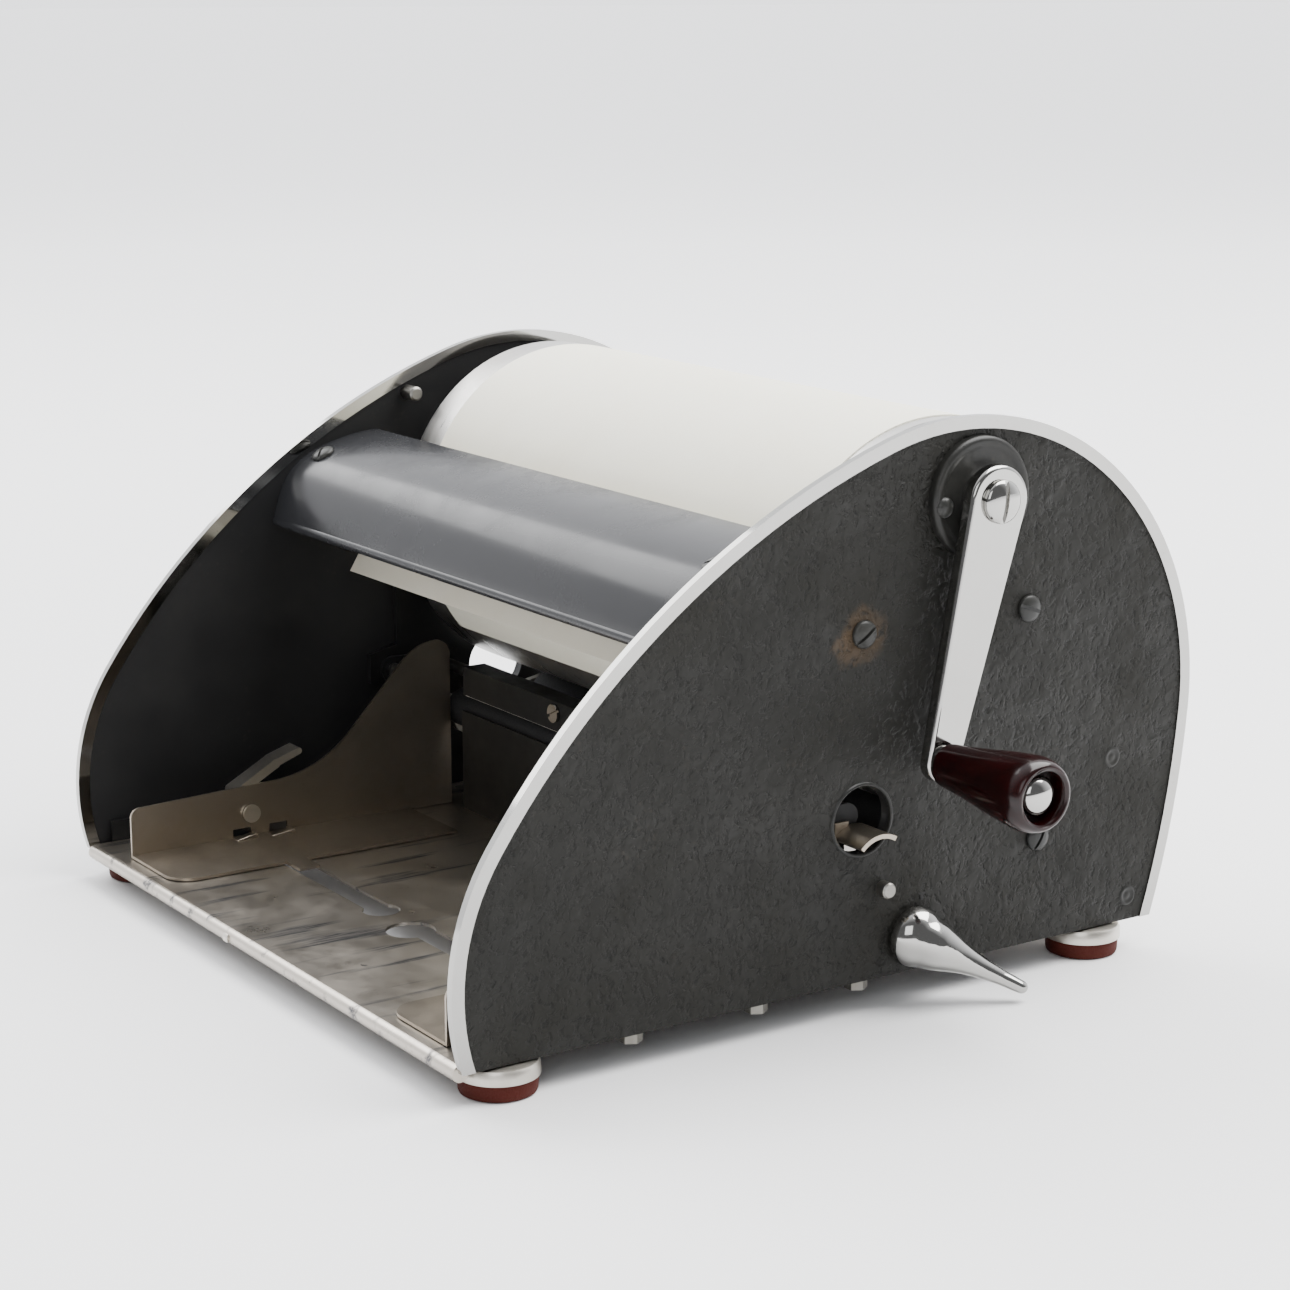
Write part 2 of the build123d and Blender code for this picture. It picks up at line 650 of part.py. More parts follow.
RECESS_R = 7.8
RECESS_DEPTH = 6.0
with BuildPart() as handle_grip:
    with BuildSketch(turned_plane(HANDLE)):
        with BuildLine():
            Line((HANDLE_START_X, HANDLE_BOLT_R + RUN_FIT), (HANDLE_START_X, HANDLE_SLIM_R - 0.6))
            Line((HANDLE_START_X, HANDLE_SLIM_R - 0.6), (HANDLE_START_X + 0.8, HANDLE_SLIM_R))
            swell = Spline(
                (HANDLE_START_X + 0.8, HANDLE_SLIM_R),
                (HANDLE_START_X + 18.0, 9.1),
                (HANDLE_END_X - 6.0, HANDLE_FULL_R),
                tangents=((1, 0.12), (1, 0)),
            )
            rim = ThreePointArc(swell @ 1, (HANDLE_END_X - 1.6, 10.6), (HANDLE_END_X, 8.9))
            Line(rim @ 1, (HANDLE_END_X, RECESS_R))
            Line((HANDLE_END_X, RECESS_R), (HANDLE_END_X - RECESS_DEPTH, RECESS_R))
            Line((HANDLE_END_X - RECESS_DEPTH, RECESS_R),
                 (HANDLE_END_X - RECESS_DEPTH, HANDLE_BOLT_R + RUN_FIT))
            Line((HANDLE_END_X - RECESS_DEPTH, HANDLE_BOLT_R + RUN_FIT),
                 (HANDLE_START_X, HANDLE_BOLT_R + RUN_FIT))
        make_face()
    revolve(axis=shaft_axis(HANDLE))
finish(handle_grip, "handle_grip")

with BuildPart() as handle_bolt:
    with BuildSketch(side_plane(ARM_X - 0.8)):
        disc(HANDLE, 5.0)
    extrude(amount=0.8)
    with BuildSketch(side_plane(ARM_X)):
        disc(HANDLE, HANDLE_BOLT_R)
    extrude(amount=HANDLE_END_X - RECESS_DEPTH + GAP - ARM_X)
    with BuildSketch(side_plane(HANDLE_END_X - RECESS_DEPTH + GAP)):
        disc(HANDLE, 5.4)
    extrude(amount=RECESS_DEPTH - GAP - 0.4)
    fillet(handle_bolt.edges().filter_by(GeomType.CIRCLE).sort_by(Axis.X)[-1], 2.6)
finish(handle_bolt, "handle_bolt")

with BuildPart() as handle_collar:
    with BuildSketch(side_plane(ARM_X + ARM_T)):
        disc(HANDLE, 5.7)
        disc(HANDLE, HANDLE_BOLT_R, Mode.SUBTRACT)
    extrude(amount=HANDLE_START_X - GAP - ARM_X - ARM_T)
finish(handle_collar, "handle_collar")


# ---------------------------------------------------------------- drum
SHAFT_R = 6.0
END_X = 112.0
END_T = 2.0
with BuildPart() as drum_shell:
    with BuildSketch(axis_plane(-DRUM_HALF, DRUM)):
        Circle(DRUM_R)
        Circle(DRUM_R - DRUM_SHELL_T, mode=Mode.SUBTRACT)
    extrude(amount=2 * DRUM_HALF)
    with BuildSketch(axis_plane(-106.0, DRUM)):
        with PolarLocations(DRUM_R, 1, CLAMP_ANGLE):
            Rectangle(8.0, 5.0)
    extrude(amount=212.0, mode=Mode.SUBTRACT)
finish(drum_shell, "drum_shell")

for side in (1, -1):
    with BuildPart() as drum_end:
        with BuildSketch(axis_plane(side * END_X, DRUM)):
            Circle(DRUM_R - DRUM_SHELL_T)
            with PolarLocations(34.0, 6, 30):
                Circle(11.0, mode=Mode.SUBTRACT)
        extrude(amount=-side * END_T)
        with BuildSketch(axis_plane(side * END_X, DRUM)):
            Circle(12.0)
        extrude(amount=-side * 12.0)
        with BuildSketch(axis_plane(side * END_X, DRUM)):
            Circle(SHAFT_R)
        extrude(amount=-side * 12.0, mode=Mode.SUBTRACT)
    finish(drum_end, f"{side_name(side)}_drum_end")

with BuildPart() as drum_shaft:
    with BuildSketch(axis_plane(-(FRAME_FACE - 0.4), DRUM)):
        Circle(SHAFT_R)
    extrude(amount=2 * (FRAME_FACE - 0.4))
    with BuildSketch(axis_plane(-(INNER - 0.3), DRUM)):
        Circle(DRUM_JOURNAL_R)
    extrude(amount=2 * (INNER - 0.3))
finish(drum_shaft, "drum_shaft")

with BuildPart() as drum_gear:
    with BuildSketch(axis_plane(GEAR_X, DRUM)):
        gear_outline(GEAR_TEETH, 90)
        Circle(SHAFT_R, mode=Mode.SUBTRACT)
    extrude(amount=GEAR_W)
    with BuildSketch(axis_plane(GEAR_X, DRUM)):
        Circle(11.0)
        Circle(SHAFT_R, mode=Mode.SUBTRACT)
    extrude(amount=-4.0)
finish(drum_gear, "drum_gear")

CHANNEL_HALF = 9.0
with BuildPart() as clamp_channel:
    with BuildSketch(axis_plane(-106.0, DRUM)):
        with PolarLocations(50.6, 1, CLAMP_ANGLE):
            Rectangle(1.2, 2 * CHANNEL_HALF)
        with PolarLocations(53.7, 1, CLAMP_ANGLE):
            with Locations((0, CHANNEL_HALF - 0.6), (0, 0.6 - CHANNEL_HALF)):
                Rectangle(7.4, 1.2)
    extrude(amount=212.0)
finish(clamp_channel, "clamp_channel")

CLAMP_HINGE_R = 54.8
CLAMP_HINGE_T = -6.0
with BuildPart() as clamp_bar:
    with BuildSketch(axis_plane(-104.0, DRUM)):
        with PolarLocations(56.4, 1, CLAMP_ANGLE):
            Rectangle(1.6, 13.0)
        with PolarLocations(CLAMP_HINGE_R, 1, CLAMP_ANGLE):
            with Locations((0, CLAMP_HINGE_T)):
                Circle(1.3)
    extrude(amount=208.0)
finish(clamp_bar, "clamp_bar")

MASTER_START = CLAMP_ANGLE + 3.5
MASTER_SPAN = 283.0
with BuildPart() as master_sheet:
    with BuildSketch(axis_plane(MASTER_X[0], DRUM)):
        with BuildLine():
            inner = CenterArc((0, 0), DRUM_R, MASTER_START, MASTER_SPAN)
            outer = CenterArc((0, 0), DRUM_R + MASTER_T, MASTER_START, MASTER_SPAN)
            Line(inner @ 0, outer @ 0)
            Line(inner @ 1, outer @ 1)
        make_face()
    extrude(amount=MASTER_X[1] - MASTER_X[0])
finish(master_sheet, "master_sheet")


# ---------------------------------------------------------------- rollers, carrier, pressure control
ROLLER_HALF = 108.0
CARRIER_X = 118.0
CARRIER_T = 2.8
with BuildPart() as impression_roller:
    with BuildSketch(axis_plane(-ROLLER_HALF, IMPRESSION)):
        Circle(IMPRESSION_R)
        Circle(IMPRESSION_SHAFT_R, mode=Mode.SUBTRACT)
    extrude(amount=2 * ROLLER_HALF)
finish(impression_roller, "impression_roller")

with BuildPart() as impression_shaft:
    with BuildSketch(axis_plane(-(CARRIER_X - 0.4), IMPRESSION)):
        Circle(IMPRESSION_SHAFT_R)
    extrude(amount=2 * (CARRIER_X - 0.4))
    with BuildSketch(axis_plane(-(CARRIER_X + CARRIER_T + 0.6), IMPRESSION)):
        Circle(PIN_R)
    extrude(amount=2 * (CARRIER_X + CARRIER_T + 0.6))
finish(impression_shaft, "impression_shaft")

CAM_R = 6.0
CAM_THROW = 2.0
FOOT_FACE = PRESSURE[1] + CAM_R + CAM_THROW + 0.5
with BuildPart() as carrier_arms:
    for side in (1, -1):
        with BuildSketch(side_plane(side * CARRIER_X)):
            capsule(CARRIER_PIVOT, IMPRESSION, 5.4, 6.0)
            with BuildLine():
                Polyline(
                    (PRESSURE[0] - 6.5, FOOT_FACE), (PRESSURE[0] + 5.0, FOOT_FACE),
                    (PRESSURE[0] + 9.0, 29.0), (PRESSURE[0] - 9.0, 27.0), close=True,
                )
            make_face()
            disc(CARRIER_PIVOT, PIN_R + RUN_FIT, Mode.SUBTRACT)
            disc(IMPRESSION, PIN_R + RUN_FIT, Mode.SUBTRACT)
        extrude(amount=side * CARRIER_T)
finish(carrier_arms, "carrier_arms")

with BuildPart() as pressure_shaft:
    with BuildSketch(axis_plane(-(INNER - 0.3), PRESSURE)):
        Circle(PRESSURE_SHAFT_R)
    extrude(amount=INNER - 0.3 + HALF_W + 4.0)
finish(pressure_shaft, "pressure_shaft")

with BuildPart() as pressure_cams:
    for side in (1, -1):
        with BuildSketch(axis_plane(side * CARRIER_X, PRESSURE)):
            with Locations((0, CAM_THROW)):
                Circle(CAM_R)
            Circle(PRESSURE_SHAFT_R, mode=Mode.SUBTRACT)
        extrude(amount=side * CARRIER_T)
finish(pressure_cams, "pressure_cams")

LEVER_X = HALF_W + 0.7
LEVER_TIP = Vector(149.6, 188.4, -6.3)
LEVER_TAIL = [(0.0, 5.2), (0.29, 6.3), (0.6, 4.1), (1.0, 2.4)]     # share of the tail, radius
with BuildPart() as pressure_lever:
    with BuildSketch(turned_plane(PRESSURE)):
        with BuildLine():
            Spline((LEVER_X + 1.2, 9.9), (LEVER_X + 6.0, 8.2), (LEVER_X + 10.6, 0),
                   tangents=((1, 0), (0, -1)))
            Polyline((LEVER_X + 10.6, 0), (LEVER_X, 0), (LEVER_X, 9.9), (LEVER_X + 1.2, 9.9))
        make_face()
    revolve(axis=shaft_axis(PRESSURE))
    root = Vector(LEVER_X + 5.4, *PRESSURE)
    reach = LEVER_TIP - root
    for share, radius in LEVER_TAIL:
        spot = root + reach * share + Vector(MID_X, FRONT_Y, FOOT_H)
        with BuildSketch(Plane(origin=spot, x_dir=(0, -reach.Z, reach.Y), z_dir=reach)):
            Circle(radius)
    loft()
    with BuildSketch(axis_plane(LEVER_X, PRESSURE)):
        Circle(PRESSURE_SHAFT_R)
    extrude(amount=HALF_W + 4.0 - LEVER_X, mode=Mode.SUBTRACT)
finish(pressure_lever, "pressure_lever")

FEED_HALF = 110.0
with BuildPart() as feed_roller:
    with BuildSketch(axis_plane(-FEED_HALF, FEED_ROLLER)):
        Circle(FEED_ROLLER_R)
        Circle(FEED_SHAFT_R, mode=Mode.SUBTRACT)
    extrude(amount=2 * FEED_HALF)
finish(feed_roller, "feed_roller")

with BuildPart() as feed_roller_shaft:
    with BuildSketch(axis_plane(-(INNER - 0.3), FEED_ROLLER)):
        Circle(FEED_SHAFT_R)
    extrude(amount=2 * (INNER - 0.3))
finish(feed_roller_shaft, "feed_roller_shaft")


# ---------------------------------------------------------------- swinging moistener
BAR_HALF = 97.0
BAR_FRONT = 133.0
BAR_REAR = 142.0
BAR_TOP = 54.0
SWING_ROD = (138.2, 50.4)
SWING_ARM_X = 121.4
SWING_ARM_T = 1.8
with BuildPart() as moistener_bar:
    with BuildSketch(side_plane(-BAR_HALF)):
        with BuildLine():
            Polyline(
                (BAR_FRONT, 43.6), (BAR_FRONT, BAR_TOP), (BAR_REAR, BAR_TOP), (BAR_REAR, 47.6),
                (BAR_REAR - SHEET, 47.6), (BAR_REAR - SHEET, BAR_TOP - SHEET),
                (BAR_FRONT + SHEET, BAR_TOP - SHEET), (BAR_FRONT + SHEET, 43.6), close=True,
            )
        make_face()
    extrude(amount=2 * BAR_HALF)
finish(moistener_bar, "moistener_bar")

with BuildPart() as moistener_felt:
    with BuildSketch(side_plane(-BAR_HALF)):
        with Locations(((BAR_FRONT + BAR_REAR) / 2, 45.2)):
            Rectangle(BAR_REAR - BAR_FRONT - 2 * SHEET, 4.4)
    extrude(amount=2 * BAR_HALF)
finish(moistener_felt, "moistener_felt")

with BuildPart() as swing_rod:
    with BuildSketch(axis_plane(-SWING_ARM_X, SWING_ROD)):
        Circle(2.2)
    extrude(amount=2 * SWING_ARM_X)
finish(swing_rod, "swing_rod")

for side in (1, -1):
    with BuildPart() as swing_arm:
        with BuildSketch(side_plane(side * SWING_ARM_X)):
            capsule(SWING_PIVOT, SWING_ROD, 4.8, 4.2)
            disc(SWING_PIVOT, PIN_R + RUN_FIT, Mode.SUBTRACT)
        extrude(amount=side * SWING_ARM_T)
    finish(swing_arm, f"{side_name(side)}_swing_arm")

with BuildPart() as finger_tab:
    with BuildSketch(side_plane(SWING_ARM_X + SWING_ARM_T)):
        with BuildLine() as tab_line:
            ThreePointArc((133.2, 44.2), (139.4, 47.3), (145.8, 45.9))
        trace(tab_line.line, 1.4)
        with Locations((135.6, 47.0)):
            Rectangle(5.0, 4.6)
    extrude(amount=1.0)
    with BuildSketch(side_plane(SWING_ARM_X + SWING_ARM_T + 1.0)):
        with BuildLine() as tab_line:
            ThreePointArc((133.2, 44.2), (139.4, 47.3), (145.8, 45.9))
        trace(tab_line.line, 1.4)
    extrude(amount=HALF_W + 7.5 - SWING_ARM_X - SWING_ARM_T - 1.0)
finish(finger_tab, "finger_tab")

with BuildPart() as moistener_screws:
    for x in (-34.0, 34.0):
        with BuildSketch(Plane(origin=(MID_X + x, FRONT_Y + BAR_FRONT, FOOT_H + 50.0),
                               x_dir=(1, 0, 0), z_dir=(0, -1, 0))):
            Circle(3.2)
        extrude(amount=1.4)
        with BuildSketch(Plane(origin=(MID_X + x, FRONT_Y + BAR_FRONT - 1.4, FOOT_H + 50.0),
                               x_dir=(1, 0, 0), z_dir=(0, -1, 0))):
            with Locations(Location((0, 0, 0), (0, 0, 25))):
                Rectangle(8.0, 0.9)
        extrude(amount=-0.8, mode=Mode.SUBTRACT)
finish(moistener_screws, "moistener_screws")


# ---------------------------------------------------------------- paper guides and their locks
GUIDE_LIFT = TRAY_TOP + 0.3         # underside of a guide's flange
for name, side in (("left", -1), ("right", 1)):
    wall_x = GUIDE_X[name]
    with BuildPart() as guide:
        with BuildSketch(side_plane(wall_x)):
            with BuildLine():
                Line((GUIDE_FRONT, GUIDE_LIFT), (GUIDE_FRONT, 16.0))
                corner = ThreePointArc((GUIDE_FRONT, 16.0), (GUIDE_FRONT + 1.1, 18.6),
                                       (GUIDE_FRONT + 4, 19.4))
                shelf = Line(corner @ 1, (60.0, 21.4))
                rise = TangentArc(shelf @ 1, (90.0, 35.0), tangent=shelf % 1)
                ramp = Line(rise @ 1, rise @ 1 + (rise % 1) * 31.0)
                horn = TangentArc(ramp @ 1, (125.0, 63.6), tangent=ramp % 1)
                tip = ThreePointArc(horn @ 1, (129.2, 62.0), (GUIDE_REAR, 58.0))
                Line(tip @ 1, (GUIDE_REAR, GUIDE_LIFT))
                Line((GUIDE_REAR, GUIDE_LIFT), (GUIDE_FRONT, GUIDE_LIFT))
            make_face()
            disc(GUIDE_RIVET, 2.0 + RUN_FIT, Mode.SUBTRACT)
            with Locations((46.5, 4.6), (60.5, 4.6)):
                Rectangle(7.0, 2.8, mode=Mode.SUBTRACT)
        extrude(amount=side * SHEET)
        with BuildSketch(level_plane(GUIDE_LIFT)):
            with Locations((wall_x - side * (GUIDE_FLANGE / 2 - SHEET), 59.0)):
                Rectangle(GUIDE_FLANGE, 108.0)
        extrude(amount=SHEET)
        flange_corners = guide.edges().filter_by(Axis.Z).group_by(Axis.X)
        inner_edges = flange_corners[-1] if side < 0 else flange_corners[0]
        fillet(inner_edges.sort_by(Axis.Y)[0], 9.0)
        hook_x = wall_x - side * 14.0
        with BuildSketch(level_plane(TRAY_TOP - SHEET - GAP)):
            with Locations((hook_x, SLOT_Y)):
                Rectangle(6.0, SLOT_W - 1.0)
        extrude(amount=SHEET + 2 * GAP + 0.1)
        with BuildSketch(level_plane(TRAY_TOP - SHEET - GAP - 1.2)):
            with Locations((hook_x, SLOT_Y)):
                Rectangle(6.0, SLOT_W + 6.0)
        extrude(amount=1.2)
        tongue_x = wall_x - side * (GUIDE_FLANGE + 3.5)
        with BuildSketch(level_plane(GUIDE_LIFT)):
            with Locations((tongue_x, SLOT_Y)):
                Rectangle(11.0, SLOT_W - 1.0)
        extrude(amount=SHEET)
    finish(guide, f"{name}_guide")

    lock_x = wall_x + side * (SHEET + GAP)
    with BuildPart() as guide_lock:
        with BuildSketch(side_plane(lock_x)):
            disc(GUIDE_RIVET, 4.6)
            capsule(GUIDE_RIVET, (46.2, 18.6), 2.0, 1.6)
        extrude(amount=side * 2.6)
        with BuildSketch(side_plane(lock_x)):
            capsule((46.2, 18.6), (62.0, 27.4), 1.6, 1.4)
            capsule((61.4, 27.2), (70.0, 30.2), 1.4, 1.2)
        extrude(amount=side * 7.6)
        with BuildSketch(side_plane(lock_x)):
            capsule((46.2, 18.6), (61.0, 26.9), 1.6, 1.7)
        extrude(amount=side * 2.6)
        with BuildSketch(side_plane(lock_x)):
            disc(GUIDE_RIVET, 2.0)
        extrude(amount=-side * (SHEET + 2 * GAP))
        with BuildSketch(side_plane(wall_x - side * GAP)):
            disc(GUIDE_RIVET, 3.2)
        extrude(amount=-side * 1.1)
    finish(guide_lock, f"{name}_guide_lock")
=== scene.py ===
"""Looks of a hand-cranked tabletop spirit duplicator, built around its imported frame.

Lengths are metres in the frame's own axes: +X towards the crank, +Y from the paper tray towards
the delivery side, +Z up. Places are given in the machine's layout in millimetres (x from the middle
plane, y from the front bottom corner of a side plate, z from its bottom edge) and turned into the
frame by at().
"""

import json
import logging
import math
from contextlib import contextmanager
from dataclasses import dataclass
from enum import Enum
from typing import Iterator, Sequence

import bpy
from mathutils import Matrix, Vector


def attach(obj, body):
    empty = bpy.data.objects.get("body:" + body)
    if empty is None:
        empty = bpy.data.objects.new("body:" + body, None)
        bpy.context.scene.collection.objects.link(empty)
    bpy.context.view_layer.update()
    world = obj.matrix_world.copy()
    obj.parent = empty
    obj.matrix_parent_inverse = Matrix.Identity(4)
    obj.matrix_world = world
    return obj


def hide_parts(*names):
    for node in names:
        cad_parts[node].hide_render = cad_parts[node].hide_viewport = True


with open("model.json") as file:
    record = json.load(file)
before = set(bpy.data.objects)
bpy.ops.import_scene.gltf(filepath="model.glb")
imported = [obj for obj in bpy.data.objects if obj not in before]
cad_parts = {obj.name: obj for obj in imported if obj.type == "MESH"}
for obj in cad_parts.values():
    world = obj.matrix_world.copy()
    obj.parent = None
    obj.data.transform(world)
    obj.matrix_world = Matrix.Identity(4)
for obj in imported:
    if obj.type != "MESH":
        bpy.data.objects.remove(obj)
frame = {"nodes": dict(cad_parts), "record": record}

LOG = logging.getLogger("duplicator")
MM = 0.001
Point = tuple[float, float]
Color = tuple[float, float, float]
Input = object  # a socket to link from, or a plain default value

MID_X = -26.8
FRONT_Y = -133.666
FOOT_H = 10.4
PLATE_FACE = 130.0  # middle plane to the outer face of a side plate
PLATE_OUTSIDE = 0.1292  # metres from the middle plane beyond which a face counts as outside
NEEDLE = 0.01  # radius that stands for a point on a turned piece's axis


def at(x: float, y: float, z: float) -> Vector:
    """Place in the frame of a point of the machine's layout.

    Args:
        x: millimetres from the middle plane, positive towards the crank.
        y: millimetres from the front bottom corner of a side plate.
        z: millimetres from a side plate's bottom edge.

    Returns:
        The point in metres.
    """
    return Vector((MID_X + x, FRONT_Y + y, FOOT_H + z)) * MM


# ------------------------------------------------------------------ node graphs
class Graph:
    """Short way to add nodes to a tree and wire them."""

    def __init__(self, tree: bpy.types.NodeTree) -> None:
        """Wraps a tree.

        Args:
            tree: the node tree to build in.
        """
        self.tree = tree

    def wire(self, socket: bpy.types.NodeSocket, value: Input) -> None:
        """Feeds one input.

        Args:
            socket: the input.
            value: an output socket to link from, or a default value.
        """
        if isinstance(value, bpy.types.NodeSocket):
            self.tree.links.new(value, socket)
        else:
            socket.default_value = value

    def node(self, kind: str, inputs: dict[str | int, Input], **settings: Input) -> bpy.types.Node:
        """Adds a node.

        Args:
            kind: node type without its ShaderNode prefix.
            inputs: input name or number to its feed.
            settings: properties of the node.

        Returns:
            The new node.
        """
        made = self.tree.nodes.new("ShaderNode" + kind)
        for name, value in settings.items():
            setattr(made, name, value)
        for name, value in inputs.items():
            self.wire(made.inputs[name], value)
        return made

    def noise(self, vector: Input, scale: float, detail: float = 4, rough: float = 0.55,
              warp: float = 0.0) -> bpy.types.NodeSocket:
        """Adds a noise texture.

        Args:
            vector: coordinate in metres.
            scale: features in a metre.
            detail: octaves.
            rough: weight of the fine octaves.
            warp: how far it is distorted.

        Returns:
            Its value, 0 to 1.
        """
        made = self.node("TexNoise", {"Vector": vector, "Scale": scale, "Detail": detail,
                                      "Roughness": rough, "Distortion": warp})
        return made.outputs[0]

    def stretch(self, vector: Input, scale: Sequence[float], turn: Sequence[float] = (0, 0, 0)
                ) -> bpy.types.NodeSocket:
        """Scales and turns a coordinate.

        Args:
            vector: coordinate in metres.
            scale: factor along each axis.
            turn: rotation in radians.

        Returns:
            The new coordinate.
        """
        return self.node("Mapping", {"Vector": vector, "Scale": scale, "Rotation": turn}).outputs[0]

    def span(self, value: Input, low: float, high: float, to_low: float = 0.0, to_high: float = 1.0
             ) -> bpy.types.NodeSocket:
        """Maps low..high of a value onto to_low..to_high, clamped.

        Args:
            value: the value.
            low: where the ramp starts.
            high: where it ends.
            to_low: result at its start.
            to_high: result at its end.

        Returns:
            The mapped value.
        """
        made = self.node("MapRange", {0: value, 1: low, 2: high, 3: to_low, 4: to_high})
        return made.outputs[0]

    def math(self, how: str, first: Input, second: Input = 0.0) -> bpy.types.NodeSocket:
        """Adds a maths node.

        Args:
            how: its operation.
            first: first number.
            second: second number.

        Returns:
            Its value.
        """
        return self.node("Math", {0: first, 1: second}, operation=how).outputs[0]

    def times(self, first: Input, second: Input) -> bpy.types.NodeSocket:
        """Multiplies two numbers.

        Args:
            first: a number.
            second: the other number.

        Returns:
            Their product.
        """
        return self.math("MULTIPLY", first, second)

    def plus(self, first: Input, second: Input) -> bpy.types.NodeSocket:
        """Adds two numbers.

        Args:
            first: a number.
            second: the other number.

        Returns:
            Their sum.
        """
        return self.math("ADD", first, second)

    def blend(self, amount: Input, first: Input, second: Input, how: str = "MIX") -> bpy.types.NodeSocket:
        """Mixes two colours.

        Args:
            amount: share of the second.
            first: a colour.
            second: the other colour.
            how: blend type.

        Returns:
            The mixed colour.
        """
        made = self.node("Mix", {0: amount}, data_type="RGBA", blend_type=how)
        for socket, value in ((made.inputs[6], first), (made.inputs[7], second)):
            self.wire(socket, (*value, 1.0) if isinstance(value, tuple) and len(value) == 3 else value)
        return made.outputs[2]

    def bump(self, height: Input, strength: float, depth_mm: float, under: Input | None = None
             ) -> bpy.types.NodeSocket:
        """Adds a bump of a real depth.

        Args:
            height: the height, 0 to 1.
            strength: how much of it shows.
            depth_mm: depth of a full step in millimetres.
            under: a normal that it is laid over.

        Returns:
            The bumped normal.
        """
        feeds = {"Height": height, "Strength": strength, "Distance": depth_mm * MM}
        if under is not None:
            feeds["Normal"] = under
        return self.node("Bump", feeds).outputs[0]


class Effect(Enum):
    """The shared effects, each a node group from a coordinate to one mask."""

    SCRATCHES = "fine_scratches"
    GRIME = "settled_grime"
    PITS = "corrosion_pits"
    FIBRES = "paper_fibres"
    CRINKLE = "crinkle_skin"


